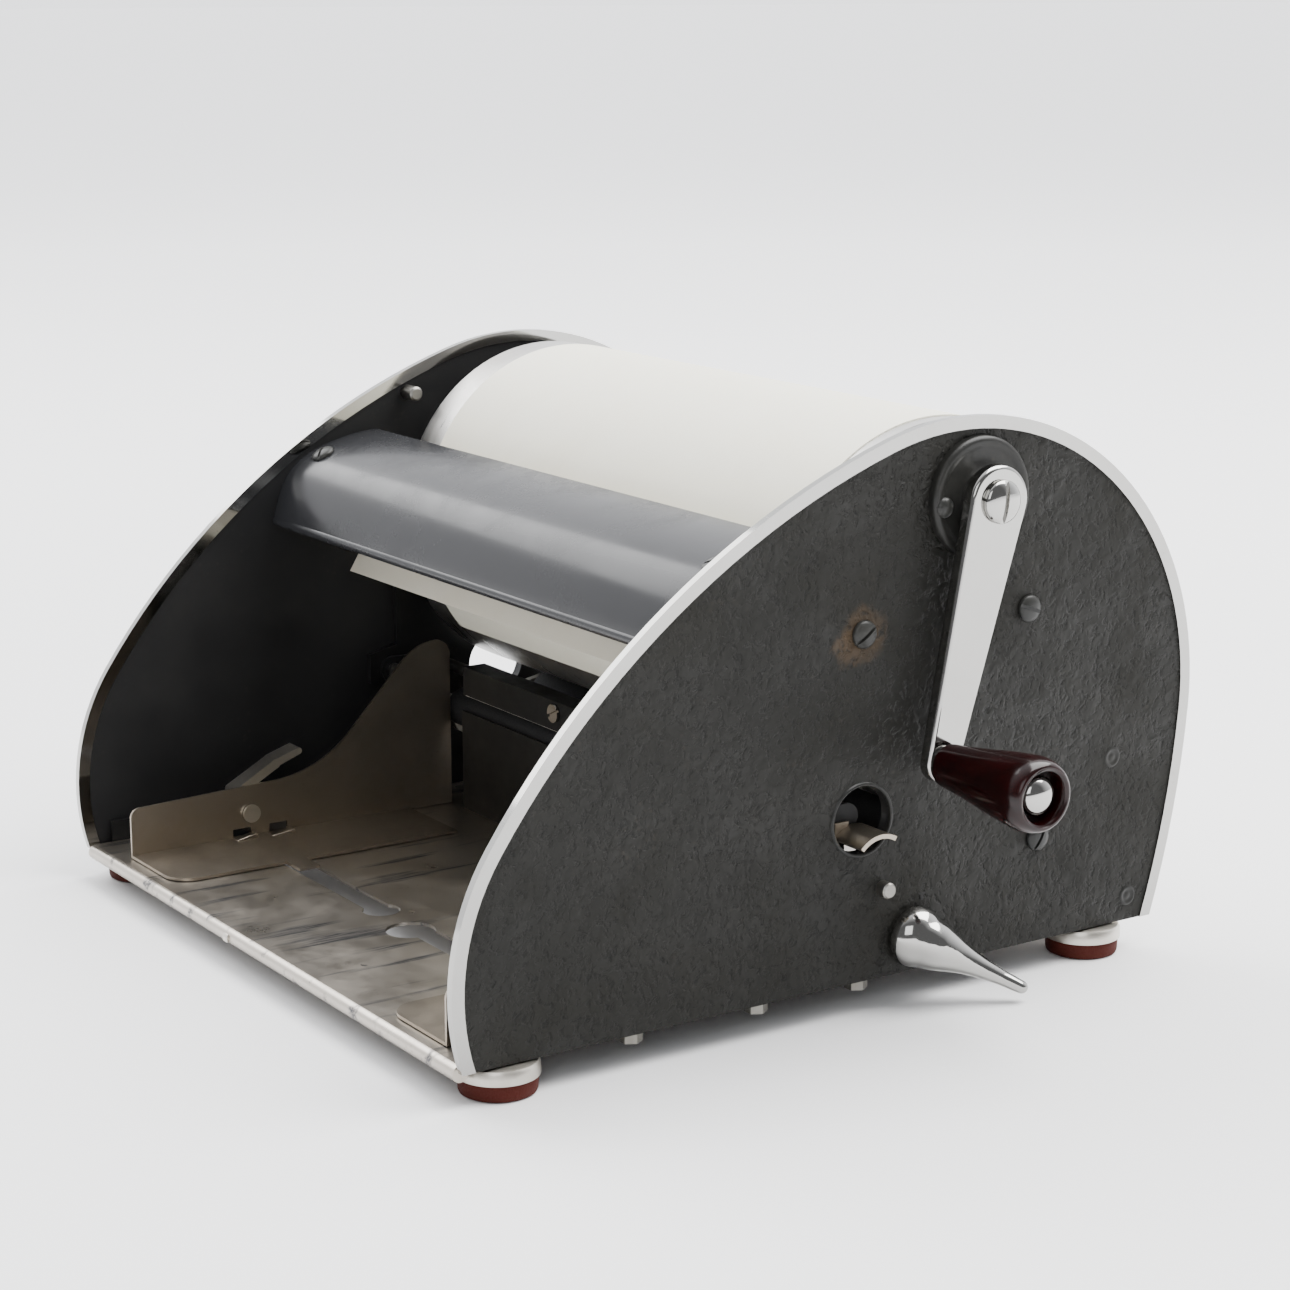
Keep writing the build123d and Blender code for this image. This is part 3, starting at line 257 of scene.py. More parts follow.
class Effects:
    """Makes each shared effect once, as a node group."""

    def __init__(self) -> None:
        """Starts with no groups made."""
        self.made: dict[Effect, bpy.types.NodeTree] = {}

    def mask(self, graph: Graph, effect: Effect, vector: Input, size: float = 1.0) -> bpy.types.NodeSocket:
        """Adds an effect to a material.

        Args:
            graph: the material's graph.
            effect: which effect.
            vector: coordinate in metres.
            size: how many times finer than usual the pattern is.

        Returns:
            The mask, 0 to 1.
        """
        if effect not in self.made:
            self.made[effect] = self.build(effect)
        holder = graph.tree.nodes.new("ShaderNodeGroup")
        holder.node_tree = self.made[effect]
        graph.wire(holder.inputs["Vector"], vector)
        graph.wire(holder.inputs["Size"], size)
        return holder.outputs["Mask"]

    def build(self, effect: Effect) -> bpy.types.NodeTree:
        """Builds the node group of one effect.

        Args:
            effect: which effect.

        Returns:
            The finished group.
        """
        tree = bpy.data.node_groups.new(effect.value, "ShaderNodeTree")
        tree.interface.new_socket("Vector", in_out="INPUT", socket_type="NodeSocketVector")
        tree.interface.new_socket("Size", in_out="INPUT", socket_type="NodeSocketFloat")
        tree.interface.new_socket("Mask", in_out="OUTPUT", socket_type="NodeSocketFloat")
        graph = Graph(tree)
        source = tree.nodes.new("NodeGroupInput")
        sink = tree.nodes.new("NodeGroupOutput")
        scaled = graph.node("VectorMath", {0: source.outputs["Vector"], 3: source.outputs["Size"]},
                            operation="SCALE").outputs[0]
        makers = {Effect.SCRATCHES: self.scratches, Effect.GRIME: self.grime, Effect.PITS: self.pits,
                  Effect.FIBRES: self.fibres, Effect.CRINKLE: self.crinkle}
        graph.wire(sink.inputs["Mask"], makers[effect](graph, scaled))
        return tree

    def scratches(self, graph: Graph, vector: Input) -> bpy.types.NodeSocket:
        """Long thin scratches in three directions, broken up by a slower noise.

        Args:
            graph: the group's graph.
            vector: coordinate in metres.

        Returns:
            The mask, 0 to 1.
        """
        wander = graph.node("TexNoise", {"Vector": vector, "Scale": 14.0, "Detail": 2.0}).outputs[1]
        moved = graph.node("VectorMath", {0: wander, 3: 0.012}, operation="SCALE").outputs[0]
        moved = graph.node("VectorMath", {0: vector, 1: moved}, operation="ADD").outputs[0]
        total: Input = 0.0
        for turn, along, across, cut in (
            ((0.3, 0.2, 0.5), 26, 1500, 0.70), ((1.1, -0.4, -0.7), 34, 1900, 0.71),
            ((-0.5, 0.9, 1.9), 20, 1200, 0.72),
        ):
            lines = graph.noise(graph.stretch(moved, (along, across, across), turn), 1.0, 2, 0.5)
            total = graph.math("MAXIMUM", total, graph.span(lines, cut, cut + 0.05))
        patches = graph.span(graph.noise(vector, 35, 3), 0.42, 0.62)
        return graph.times(total, patches)

    def grime(self, graph: Graph, vector: Input) -> bpy.types.NodeSocket:
        """Uneven cloudy deposit with a finer mottle in it.

        Args:
            graph: the group's graph.
            vector: coordinate in metres.

        Returns:
            The mask, 0 to 1.
        """
        clouds = graph.span(graph.noise(vector, 22, 8, 0.62, 0.6), 0.44, 0.7)
        mottle = graph.span(graph.noise(vector, 240, 5, 0.6), 0.35, 0.7)
        return graph.times(clouds, graph.span(mottle, 0, 1, 0.45, 1.0))

    def pits(self, graph: Graph, vector: Input) -> bpy.types.NodeSocket:
        """Small round pits that come in clusters.

        Args:
            graph: the group's graph.
            vector: coordinate in metres.

        Returns:
            The mask, 0 to 1.
        """
        cells = graph.node("TexVoronoi", {"Vector": vector, "Scale": 420.0, "Randomness": 1.0}).outputs[0]
        dots = graph.span(cells, 0.12, 0.30, 1.0, 0.0)
        return graph.times(dots, graph.span(graph.noise(vector, 46, 4), 0.52, 0.68))

    def fibres(self, graph: Graph, vector: Input) -> bpy.types.NodeSocket:
        """Short crossing fibres of a paper or felt surface.

        Args:
            graph: the group's graph.
            vector: coordinate in metres.

        Returns:
            The mask, 0 to 1.
        """
        first = graph.noise(graph.stretch(vector, (500, 2600, 2600), (0.4, 0.1, 0.6)), 1.0, 3, 0.6, 0.8)
        second = graph.noise(graph.stretch(vector, (2600, 520, 2600), (-0.3, 0.5, 0.2)), 1.0, 3, 0.6, 0.8)
        return graph.times(graph.plus(first, second), 0.5)

    def crinkle(self, graph: Graph, vector: Input) -> bpy.types.NodeSocket:
        """Lumpy skin of a stove-dried crinkle enamel: rounded lumps with fine hollows between.

        Args:
            graph: the group's graph.
            vector: coordinate in metres.

        Returns:
            The mask, 0 to 1.
        """
        bend = graph.node("TexNoise", {"Vector": vector, "Scale": 150.0, "Detail": 2.0}).outputs[1]
        bend = graph.node("VectorMath", {0: bend, 3: 0.004}, operation="SCALE").outputs[0]
        bend = graph.node("VectorMath", {0: vector, 1: bend}, operation="ADD").outputs[0]
        skin = graph.span(graph.noise(bend, 480, 3, 0.5), 0.3, 0.5)
        lumps = graph.span(graph.noise(bend, 170, 2, 0.5), 0.3, 0.7)
        return graph.plus(graph.times(skin, 0.45), graph.times(lumps, 0.55))


EFFECTS = Effects()


# ------------------------------------------------------------------ finishes
@dataclass(frozen=True)
class Finish:
    """A surface finish, made into one material the first time it is needed.

    Attributes:
        name: name of the material.
        slot: the record's material slot that it stands for.
        color: base colour, linear.
    """

    name: str
    slot: str
    color: Color

    def material(self) -> bpy.types.Material:
        """Makes the material, or finds it if it is there already.

        Returns:
            The material.
        """
        found = bpy.data.materials.get("look_" + self.name)
        if found:
            return found
        made = bpy.data.materials.new("look_" + self.name)
        made.use_nodes = True
        graph = Graph(made.node_tree)
        shader = made.node_tree.nodes["Principled BSDF"]
        coords = graph.node("TexCoord", {}).outputs["Object"]
        for socket, value in self.feeds(graph, coords).items():
            graph.wire(shader.inputs[socket], value)
        return made

    def feeds(self, graph: Graph, coords: bpy.types.NodeSocket) -> dict[str, Input]:
        """Builds the pattern.

        Args:
            graph: the material's graph.
            coords: object coordinates in metres.

        Returns:
            Shader input name to its feed.
        """
        raise NotImplementedError


@dataclass(frozen=True)
class Metal(Finish):
    """Bare or plated metal with scratches, tarnish and pits.

    Attributes:
        rough: roughness of the clean metal.
        tarnish: colour of the tarnish.
        dull: share of the surface that the tarnish reaches.
        scratch: how strongly scratches show.
        brush: direction of a fine machining grain, or None.
        smear: strength of dark ink smears drawn out along Y.
    """

    rough: float = 0.18
    tarnish: Color = (0.16, 0.13, 0.09)
    dull: float = 0.35
    scratch: float = 0.5
    brush: tuple[float, float, float] | None = None
    smear: float = 0.0

    def feeds(self, graph: Graph, coords: bpy.types.NodeSocket) -> dict[str, Input]:
        """Builds the metal.

        Args:
            graph: the material's graph.
            coords: object coordinates in metres.

        Returns:
            Shader input name to its feed.
        """
        grime = EFFECTS.mask(graph, Effect.GRIME, coords)
        pits = EFFECTS.mask(graph, Effect.PITS, coords)
        lines = EFFECTS.mask(graph, Effect.SCRATCHES, coords)
        dirt = graph.times(grime, self.dull)
        color = graph.blend(dirt, self.color, self.tarnish)
        color = graph.blend(graph.times(pits, self.dull * 0.6), color, (0.09, 0.06, 0.04))
        cloud = graph.noise(coords, 60, 5, 0.6)
        rough = graph.span(cloud, 0.3, 0.7, self.rough * 0.88, self.rough * 1.18)
        if self.smear:
            drawn = graph.noise(graph.stretch(coords, (110, 16, 110), (0, 0, 0.12)), 1.0, 3, 0.5)
            torn = graph.noise(graph.stretch(coords, (1200, 60, 1200), (0, 0, 0.12)), 1.0, 3, 0.6)
            ink = graph.times(graph.span(drawn, 0.58, 0.65), graph.span(torn, 0.35, 0.6, 0.25, 1.0))
            color = graph.blend(graph.times(ink, self.smear), color, (0.028, 0.034, 0.05))
            chips = graph.times(graph.span(graph.noise(coords, 150, 4, 0.6, 1.2), 0.67, 0.69),
                               graph.span(graph.noise(coords, 14, 3), 0.54, 0.6))
            color = graph.blend(graph.times(chips, self.smear), color, (0.05, 0.055, 0.07))
            rough = graph.plus(rough, graph.times(ink, 0.06))
        rough = graph.plus(rough, graph.times(dirt, 0.3))
        rough = graph.plus(rough, graph.times(lines, 0.16 * self.scratch))
        height = graph.plus(graph.times(lines, -self.scratch),
                            graph.times(pits, -0.8 * self.dull))
        normal = graph.bump(height, 0.5, 0.03)
        if self.brush:
            grain = graph.noise(graph.stretch(coords, self.brush), 1.0, 2, 0.5)
            rough = graph.plus(rough, graph.span(grain, 0.3, 0.7, -0.05, 0.09))
            normal = graph.bump(grain, 0.25, 0.02, normal)
        return {"Base Color": color, "Metallic": 1.0, "Roughness": rough, "Normal": normal}


@dataclass(frozen=True)
class Enamel(Finish):
    """Paint on sheet metal, plain or crinkled.

    Attributes:
        rough: roughness of the clean paint.
        crinkle: depth of the crinkle in millimetres, 0 for plain paint; it also turns on the shade painted
            into its hollows.
        dust: how much pale dust and rubbing shows.
        inside: colour of the faces towards the machine's middle, or None for one colour.
        coat: clear shine over the paint.
        rust: places (y, z, radius) in millimetres of rust stains round a screw.
    """

    rough: float = 0.4
    crinkle: float = 0.0
    dust: float = 0.3
    inside: Color | None = None
    coat: float = 0.2
    rust: tuple[tuple[float, float, float], ...] = ()

    def feeds(self, graph: Graph, coords: bpy.types.NodeSocket) -> dict[str, Input]:
        """Builds the paint.

        Args:
            graph: the material's graph.
            coords: object coordinates in metres.

        Returns:
            Shader input name to its feed.
        """
        grime = EFFECTS.mask(graph, Effect.GRIME, coords)
        lines = EFFECTS.mask(graph, Effect.SCRATCHES, coords)
        specks = EFFECTS.mask(graph, Effect.PITS, coords, 0.8)
        tone = graph.noise(coords, 9, 5, 0.6)
        color = graph.blend(graph.span(tone, 0.3, 0.7, 0.0, 0.5), self.color,
                            tuple(c * 0.72 for c in self.color))
        outer: Input = 1.0
        if self.inside:
            side = graph.node("SeparateXYZ", {0: coords}).outputs[0]
            side = graph.math("ABSOLUTE", graph.math("SUBTRACT", side, MID_X * MM))
            outer = graph.math("GREATER_THAN", side, PLATE_OUTSIDE)
            color = graph.blend(outer, self.inside, color)
        color = graph.blend(graph.times(grime, self.dust), color, (0.16, 0.145, 0.11))
        color = graph.blend(graph.times(lines, self.dust), color, (0.34, 0.33, 0.3))
        color = graph.blend(graph.times(specks, self.dust), color, (0.25, 0.2, 0.15))
        for y, z, radius in self.rust:
            flat = graph.node("VectorMath", {0: coords, 1: (0, 1, 1)}, operation="MULTIPLY").outputs[0]
            spot = (0, at(0, y, z).y, at(0, y, z).z)
            away = graph.node("VectorMath", {0: flat, 1: spot}, operation="DISTANCE").outputs[1]
            ragged = graph.span(graph.noise(coords, 210, 6, 0.7), 0.3, 0.7, -0.002, 0.002)
            away = graph.plus(away, ragged)
            halo = graph.span(away, radius * 0.6 * MM, radius * MM, 0.55, 0.0)
            color = graph.blend(halo, color, (0.055, 0.035, 0.018))
        rough = graph.span(graph.noise(coords, 42, 5), 0.3, 0.7, self.rough * 0.8, self.rough * 1.3)
        rough = graph.plus(rough, graph.times(grime, 0.22))
        normal = graph.bump(graph.noise(coords, 160, 3), 0.25, 0.05)
        if self.crinkle:
            skin = graph.times(EFFECTS.mask(graph, Effect.CRINKLE, coords), outer)
            # painted shade: on the outer faces the crinkle's hollows are darkened to 0.6 of the paint colour
            hollow = graph.times(graph.span(skin, 0.5, 0.1), outer)
            color = graph.blend(hollow, color, tuple(c * 0.6 for c in self.color))
            normal = graph.bump(skin, 1.0, self.crinkle, normal)
        normal = graph.bump(lines, -0.3, 0.03, normal)
        return {"Base Color": color, "Roughness": rough, "Coat Weight": self.coat,
                "Coat Roughness": 0.1, "Specular IOR Level": 0.2, "Normal": normal}


@dataclass(frozen=True)
class Rubber(Finish):
    """Ground or moulded rubber.

    Attributes:
        rough: roughness.
        bloom: pale bloom on the skin, 0 to 1.
    """

    rough: float = 0.62
    bloom: float = 0.3

    def feeds(self, graph: Graph, coords: bpy.types.NodeSocket) -> dict[str, Input]:
        """Builds the rubber.

        Args:
            graph: the material's graph.
            coords: object coordinates in metres.

        Returns:
            Shader input name to its feed.
        """
        grime = EFFECTS.mask(graph, Effect.GRIME, coords, 1.6)
        grain = graph.noise(coords, 2200, 4, 0.6)
        pale = tuple(min(1.0, c * 2.1 + 0.008) for c in self.color)
        color = graph.blend(graph.times(grime, self.bloom), self.color, pale)
        dark = tuple(c * 0.6 for c in self.color)
        color = graph.blend(graph.span(grain, 0.35, 0.7, 0.0, 0.35), color, dark)
        rough = graph.span(grain, 0.3, 0.7, self.rough - 0.1, self.rough + 0.16)
        return {"Base Color": color, "Roughness": rough, "Specular IOR Level": 0.25,
                "Normal": graph.bump(grain, 0.4, 0.06)}


@dataclass(frozen=True)
class Resin(Finish):
    """Polished moulded resin with a faint marbling and rubbed scratches.

    Attributes:
        vein: colour of the marbling.
    """

    vein: Color = (0.036, 0.0055, 0.006)

    def feeds(self, graph: Graph, coords: bpy.types.NodeSocket) -> dict[str, Input]:
        """Builds the resin.

        Args:
            graph: the material's graph.
            coords: object coordinates in metres.

        Returns:
            Shader input name to its feed.
        """
        swirl = graph.noise(graph.stretch(coords, (0.35, 1, 1)), 110, 6, 0.6, 2.2)
        lines = EFFECTS.mask(graph, Effect.SCRATCHES, coords, 1.5)
        grime = EFFECTS.mask(graph, Effect.GRIME, coords, 2.5)
        color = graph.blend(graph.span(swirl, 0.42, 0.68), self.color, self.vein)
        color = graph.blend(graph.times(grime, 0.08), color, (0.05, 0.03, 0.025))
        rough = graph.span(graph.noise(coords, 70, 4), 0.3, 0.7, 0.15, 0.24)
        rough = graph.plus(rough, graph.times(lines, 0.12))
        normal = graph.bump(graph.times(lines, -1.0), 0.12, 0.02)
        return {"Base Color": color, "Roughness": rough, "Coat Weight": 0.05, "Coat Roughness": 0.08,
                "Specular IOR Level": 0.3, "Normal": normal}


@dataclass(frozen=True)
class Paper(Finish):
    """Aged paper or card, with fibres, handling stains and faint traces of violet ink.

    Attributes:
        ink: strength of the ink traces.
        age: strength of the brown stains.
    """

    ink: float = 0.2
    age: float = 0.5

    def feeds(self, graph: Graph, coords: bpy.types.NodeSocket) -> dict[str, Input]:
        """Builds the paper.

        Args:
            graph: the material's graph.
            coords: object coordinates in metres.

        Returns:
            Shader input name to its feed.
        """
        fibres = EFFECTS.mask(graph, Effect.FIBRES, coords)
        grime = EFFECTS.mask(graph, Effect.GRIME, coords, 0.7)
        blot = graph.span(graph.noise(coords, 30, 7, 0.7, 1.4), 0.6, 0.72)
        fleck = graph.span(graph.noise(coords, 520, 4, 0.7), 0.66, 0.74)
        color = graph.blend(graph.times(grime, self.age), self.color, (0.62, 0.52, 0.34))
        color = graph.blend(graph.times(graph.times(blot, fleck), self.ink * 3), color,
                            (0.22, 0.14, 0.42))
        color = graph.blend(graph.times(blot, self.ink * 0.4), color, (0.55, 0.42, 0.52))
        color = graph.blend(graph.span(fibres, 0.3, 0.7, 0.0, 0.12), color, (0.6, 0.54, 0.4))
        waves = graph.noise(graph.stretch(coords, (1, 0.5, 1)), 34, 3, 0.5)
        normal = graph.bump(waves, 0.5, 0.5, graph.bump(fibres, 0.35, 0.03))
        return {"Base Color": color, "Roughness": graph.span(fibres, 0.3, 0.7, 0.62, 0.86),
                "Sheen Weight": 0.12, "Normal": normal}


@dataclass(frozen=True)
class Felt(Finish):
    """Wool felt, damp-stained along its length."""

    def feeds(self, graph: Graph, coords: bpy.types.NodeSocket) -> dict[str, Input]:
        """Builds the felt.

        Args:
            graph: the material's graph.
            coords: object coordinates in metres.

        Returns:
            Shader input name to its feed.
        """
        fibres = EFFECTS.mask(graph, Effect.FIBRES, coords, 0.55)
        grime = EFFECTS.mask(graph, Effect.GRIME, coords)
        color = graph.blend(graph.times(grime, 0.6), self.color, (0.36, 0.3, 0.4))
        color = graph.blend(graph.span(fibres, 0.3, 0.7, 0.0, 0.4), color, (0.4, 0.36, 0.3))
        return {"Base Color": color, "Roughness": 0.92, "Sheen Weight": 0.5,
                "Normal": graph.bump(fibres, 0.8, 0.25)}


class Look:
    """The machine's finishes by name."""

    PLATE = Enamel("plate_enamel", "plate_paint", (0.0105, 0.0102, 0.0086), rough=0.5, crinkle=0.8,
                   dust=0.03, inside=(0.009, 0.009, 0.0095), coat=0.0,
                   rust=((137.9, 108.0, 9.5), (132.0, 104.0, 6.0)))
    HEADS = Enamel("screw_enamel", "plate_paint", (0.018, 0.0185, 0.0175), rough=0.32, dust=0.12, coat=0.1)
    BOSS = Enamel("boss_enamel", "plate_paint", (0.013, 0.013, 0.012), rough=0.36, dust=0.06, coat=0.08)
    INNER = Enamel("inner_enamel", "inner_paint", (0.008, 0.008, 0.0082), rough=0.42, dust=0.05, coat=0.05)
    HOOD = Enamel("hood_enamel", "hood_paint", (0.022, 0.0225, 0.0245), rough=0.2, dust=0.0, coat=0.1)
    BRIGHT = Metal("bright_nickel", "bright_nickel", (0.4, 0.395, 0.38), rough=0.07, dull=0.12, scratch=0.3)
    TRAY = Metal("worn_nickel", "worn_nickel", (0.5, 0.46, 0.405), rough=0.3,
                 tarnish=(0.34, 0.29, 0.23), dull=0.25, scratch=0.3, smear=0.9)
    SATIN = Metal("satin_nickel", "worn_nickel", (0.34, 0.3, 0.25), rough=0.32,
                  tarnish=(0.2, 0.15, 0.09), dull=0.25, scratch=0.3)
    CUP = Metal("cup_nickel", "worn_nickel", (0.62, 0.59, 0.53), rough=0.33, dull=0.3, scratch=0.5)
    STEEL = Metal("turned_steel", "steel", (0.24, 0.235, 0.22), rough=0.3, dull=0.4, brush=(1400, 40, 40))
    ZINC = Metal("dull_zinc", "zinc", (0.32, 0.31, 0.28), rough=0.42, dull=0.6, scratch=0.5)
    DRUM = Metal("drum_aluminium", "drum_metal", (0.6, 0.59, 0.57), rough=0.3,
                 tarnish=(0.3, 0.26, 0.2), dull=0.35, scratch=0.6, brush=(1300, 25, 25))
    GEAR = Metal("gear_steel", "gear_steel", (0.3, 0.29, 0.26), rough=0.34,
                 tarnish=(0.1, 0.07, 0.04), dull=0.9, brush=(1200, 60, 60))
    BRASS = Metal("dull_brass", "brass", (0.5, 0.35, 0.15), rough=0.3, tarnish=(0.15, 0.1, 0.04), dull=0.7)
    ROLLER = Rubber("roller_rubber", "roller_rubber", (0.02, 0.02, 0.021))
    FOOT = Rubber("foot_rubber", "foot_rubber", (0.055, 0.006, 0.0022), rough=0.75, bloom=0.25)
    GRIP = Resin("dark_resin", "bakelite", (0.006, 0.0002, 0.0003), (0.012, 0.0005, 0.0007))
    MASTER = Paper("master_paper", "paper", (0.86, 0.84, 0.72), ink=0.12, age=0.16)
    CARD = Paper("cream_card", "card", (0.7, 0.66, 0.55), ink=0.2, age=0.35)
    FELT = Felt("wool_felt", "felt", (0.6, 0.56, 0.48))


BY_SLOT: dict[str, Finish] = {
    look.slot: look
    for look in (Look.PLATE, Look.INNER, Look.HOOD, Look.BRIGHT, Look.SATIN, Look.STEEL, Look.ZINC,
                 Look.DRUM, Look.GEAR, Look.BRASS, Look.ROLLER, Look.FOOT, Look.GRIP, Look.MASTER,
                 Look.CARD, Look.FELT)
}


BY_NODE: dict[str, Finish] = {
    "base_tray": Look.TRAY, "left_guide_lock": Look.CUP, "right_guide_lock": Look.CUP,
}


# ------------------------------------------------------------------ mesh work
class Bench:
    """Mesh work with Blender's own operators, one piece at a time."""

    @staticmethod
    def clear() -> None:
        """Leaves edit mode and deselects everything."""
        if bpy.context.object and bpy.context.object.mode == "EDIT":
            bpy.ops.object.mode_set(mode="OBJECT")
        bpy.ops.object.select_all(action="DESELECT")

    @staticmethod
    @contextmanager
    def editing(piece: bpy.types.Object) -> Iterator[None]:
        """Edit mode on one piece with all of it selected.

        Args:
            piece: the mesh object.

        Returns:
            A context that goes back to object mode at its end.
        """
        Bench.clear()
        bpy.context.view_layer.objects.active = piece
        piece.select_set(True)
        bpy.ops.object.mode_set(mode="EDIT")
        bpy.ops.mesh.select_all(action="SELECT")
        yield
        bpy.ops.object.mode_set(mode="OBJECT")

    @staticmethod
    def line(name: str, points: Sequence[Vector], closed: bool) -> bpy.types.Object:
        """A bare line of edges, extruded point by point.

        Args:
            name: name of the piece.
            points: places in the frame.
            closed: whether the last point joins the first and the loop is filled.

        Returns:
            The new object, at the origin.
        """
        Bench.clear()
        bpy.ops.mesh.primitive_plane_add(size=0.001, location=(0, 0, 0))
        piece = bpy.context.object
        piece.name = piece.data.name = name
        with Bench.editing(piece):
            bpy.ops.mesh.merge(type="CENTER")
            bpy.ops.transform.translate(value=points[0])
            for before, after in zip(points, points[1:]):
                bpy.ops.mesh.extrude_region_move(TRANSFORM_OT_translate={"value": after - before})
            if closed:
                bpy.ops.mesh.select_all(action="SELECT")
                bpy.ops.mesh.edge_face_add()
        return piece

    @staticmethod
    def tidy(piece: bpy.types.Object, angle: float = 35.0) -> bpy.types.Object:
        """Merges doubles, points normals outwards and smooths faces below an angle.

        Args:
            piece: the mesh object.
            angle: degrees above which an edge stays sharp.

        Returns:
            The same piece.
        """
        with Bench.editing(piece):
            bpy.ops.mesh.remove_doubles(threshold=0.000004)
            bpy.ops.mesh.normals_make_consistent(inside=False)
        Bench.clear()
        piece.select_set(True)
        bpy.context.view_layer.objects.active = piece
        bpy.ops.object.shade_smooth_by_angle(angle=math.radians(angle))
        return piece

    @staticmethod
    def turned(name: str, profile: Sequence[Point], centre: Point, steps: int = 72) -> bpy.types.Object:
        """A turned piece: a profile spun about an X-direction axis.

        Args:
            name: name of the piece.
            profile: (x, radius) points in millimetres of the machine's layout.
            centre: the axis as (y, z) in millimetres.
            steps: facets round the axis.

        Returns:
            The finished piece.
        """
        points = [at(x, centre[0], centre[1] + radius) for x, radius in profile]
        piece = Bench.line(name, points, closed=False)
        with Bench.editing(piece):
            bpy.ops.mesh.spin(steps=steps, angle=2 * math.pi, center=at(0, *centre), axis=(1, 0, 0))
        return Bench.tidy(piece)

    @staticmethod
    def slab(name: str, outline: Sequence[Point], x_from: float, x_to: float, round_mm: float = 0.0,
             cuts: int = 0) -> bpy.types.Object:
        """A flat or folded sheet piece: an outline in (y, z) carried along X.

        Args:
            name: name of the piece.
            outline: (y, z) points in millimetres.
            x_from: one end.
            x_to: the other end.
            round_mm: radius on its edges.
            cuts: extra rings along X.

        Returns:
            The finished piece.
        """
        piece = Bench.line(name, [at(x_from, *p) for p in outline], closed=True)
        with Bench.editing(piece):
            for _ in range(cuts + 1):
                step = (x_to - x_from) * MM / (cuts + 1)
                bpy.ops.mesh.extrude_region_move(TRANSFORM_OT_translate={"value": (step, 0, 0)})
        Bench.tidy(piece)
        if round_mm:
            Bench.modify(piece, "BEVEL", width=round_mm * MM, segments=3, limit_method="ANGLE",
                         angle_limit=math.radians(50))
        return Bench.tidy(piece)

    @staticmethod
    def modify(piece: bpy.types.Object, kind: str, **settings: Input) -> bpy.types.Object:
        """Adds a modifier and applies it.

        Args:
            piece: the mesh object.
            kind: modifier type.
            settings: its properties.

        Returns:
            The same piece.
        """
        Bench.clear()
        piece.select_set(True)
        bpy.context.view_layer.objects.active = piece
        made = piece.modifiers.new(kind.lower(), kind)
        for name, value in settings.items():
            setattr(made, name, value)
        bpy.ops.object.modifier_apply(modifier=made.name)
        return piece

    @staticmethod
    def cut(piece: bpy.types.Object, low: Vector, high: Vector, turn: float = 0.0, about: str = "X"
            ) -> bpy.types.Object:
        """Cuts a box out of a piece, turned about its own middle.

        Args:
            piece: the mesh object.
            low: lowest corner of the unturned box.
            high: highest corner.
            turn: degrees.
            about: axis of that turn.

        Returns:
            The same piece.
        """
        Bench.clear()
        middle = (low + high) / 2
        bpy.ops.mesh.primitive_cube_add(size=1, location=middle)
        cutter = bpy.context.object
        cutter.scale = high - low
        cutter.rotation_euler["XYZ".index(about)] = math.radians(turn)
        Bench.modify(piece, "BOOLEAN", operation="DIFFERENCE", object=cutter, solver="EXACT")
        bpy.data.objects.remove(cutter)
        return Bench.tidy(piece)

    @staticmethod
    def copy(piece: bpy.types.Object, name: str, move: Matrix) -> bpy.types.Object:
        """A copy of a piece with its own mesh, moved in its mesh.

        Args:
            piece: the piece to copy.
            name: name of the copy.
            move: where it goes.

        Returns:
            The copy.
        """
        made = piece.copy()
        made.data = piece.data.copy()
        made.name = made.data.name = name
        made.data.transform(move)
        bpy.context.scene.collection.objects.link(made)
        return made


def arc(centre: Point, radius: float, start: float, end: float, steps: int) -> list[Point]:
    """Points on an arc, both ends included.

    Args:
        centre: its centre.
        radius: its radius.
        start: first angle in degrees.
        end: last angle.
        steps: number of steps between them.

    Returns:
        The points.
    """
    turns = (math.radians(start + (end - start) * i / steps) for i in range(steps + 1))
    return [(centre[0] + radius * math.cos(t), centre[1] + radius * math.sin(t)) for t in turns]


def crown(base: float, rise: float, radius: float, start: int, step: int) -> list[Point]:
    """Quarter-round profile of a domed end, up to the axis.

    Args:
        base: x where it starts.
        rise: its height along x.
        radius: its radius.
        start: first angle in degrees.
        step: angle between points.

    Returns:
        Its (x, radius) points.
    """
    turns = (math.radians(a) for a in range(start, 91, step))
    return [(base + rise * math.sin(t), max(NEEDLE, radius * math.cos(t))) for t in turns]


def dress(piece: bpy.types.Object, finish: Finish, body: str, *stands_for: str) -> bpy.types.Object:
    """Gives a new piece its finish and body, and hides the CAD nodes that it stands for.

    Args:
        piece: the finished mesh.
        finish: its surface.
        body: CAD body that it moves with.
        stands_for: CAD nodes no longer shown.

    Returns:
        The same piece.
    """
    piece.data.materials.clear()
    piece.data.materials.append(finish.material())
    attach(piece, body)
    if stands_for:
        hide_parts(*stands_for)
    LOG.info("%s: %d faces on %s", piece.name, len(piece.data.polygons), body)
    return piece


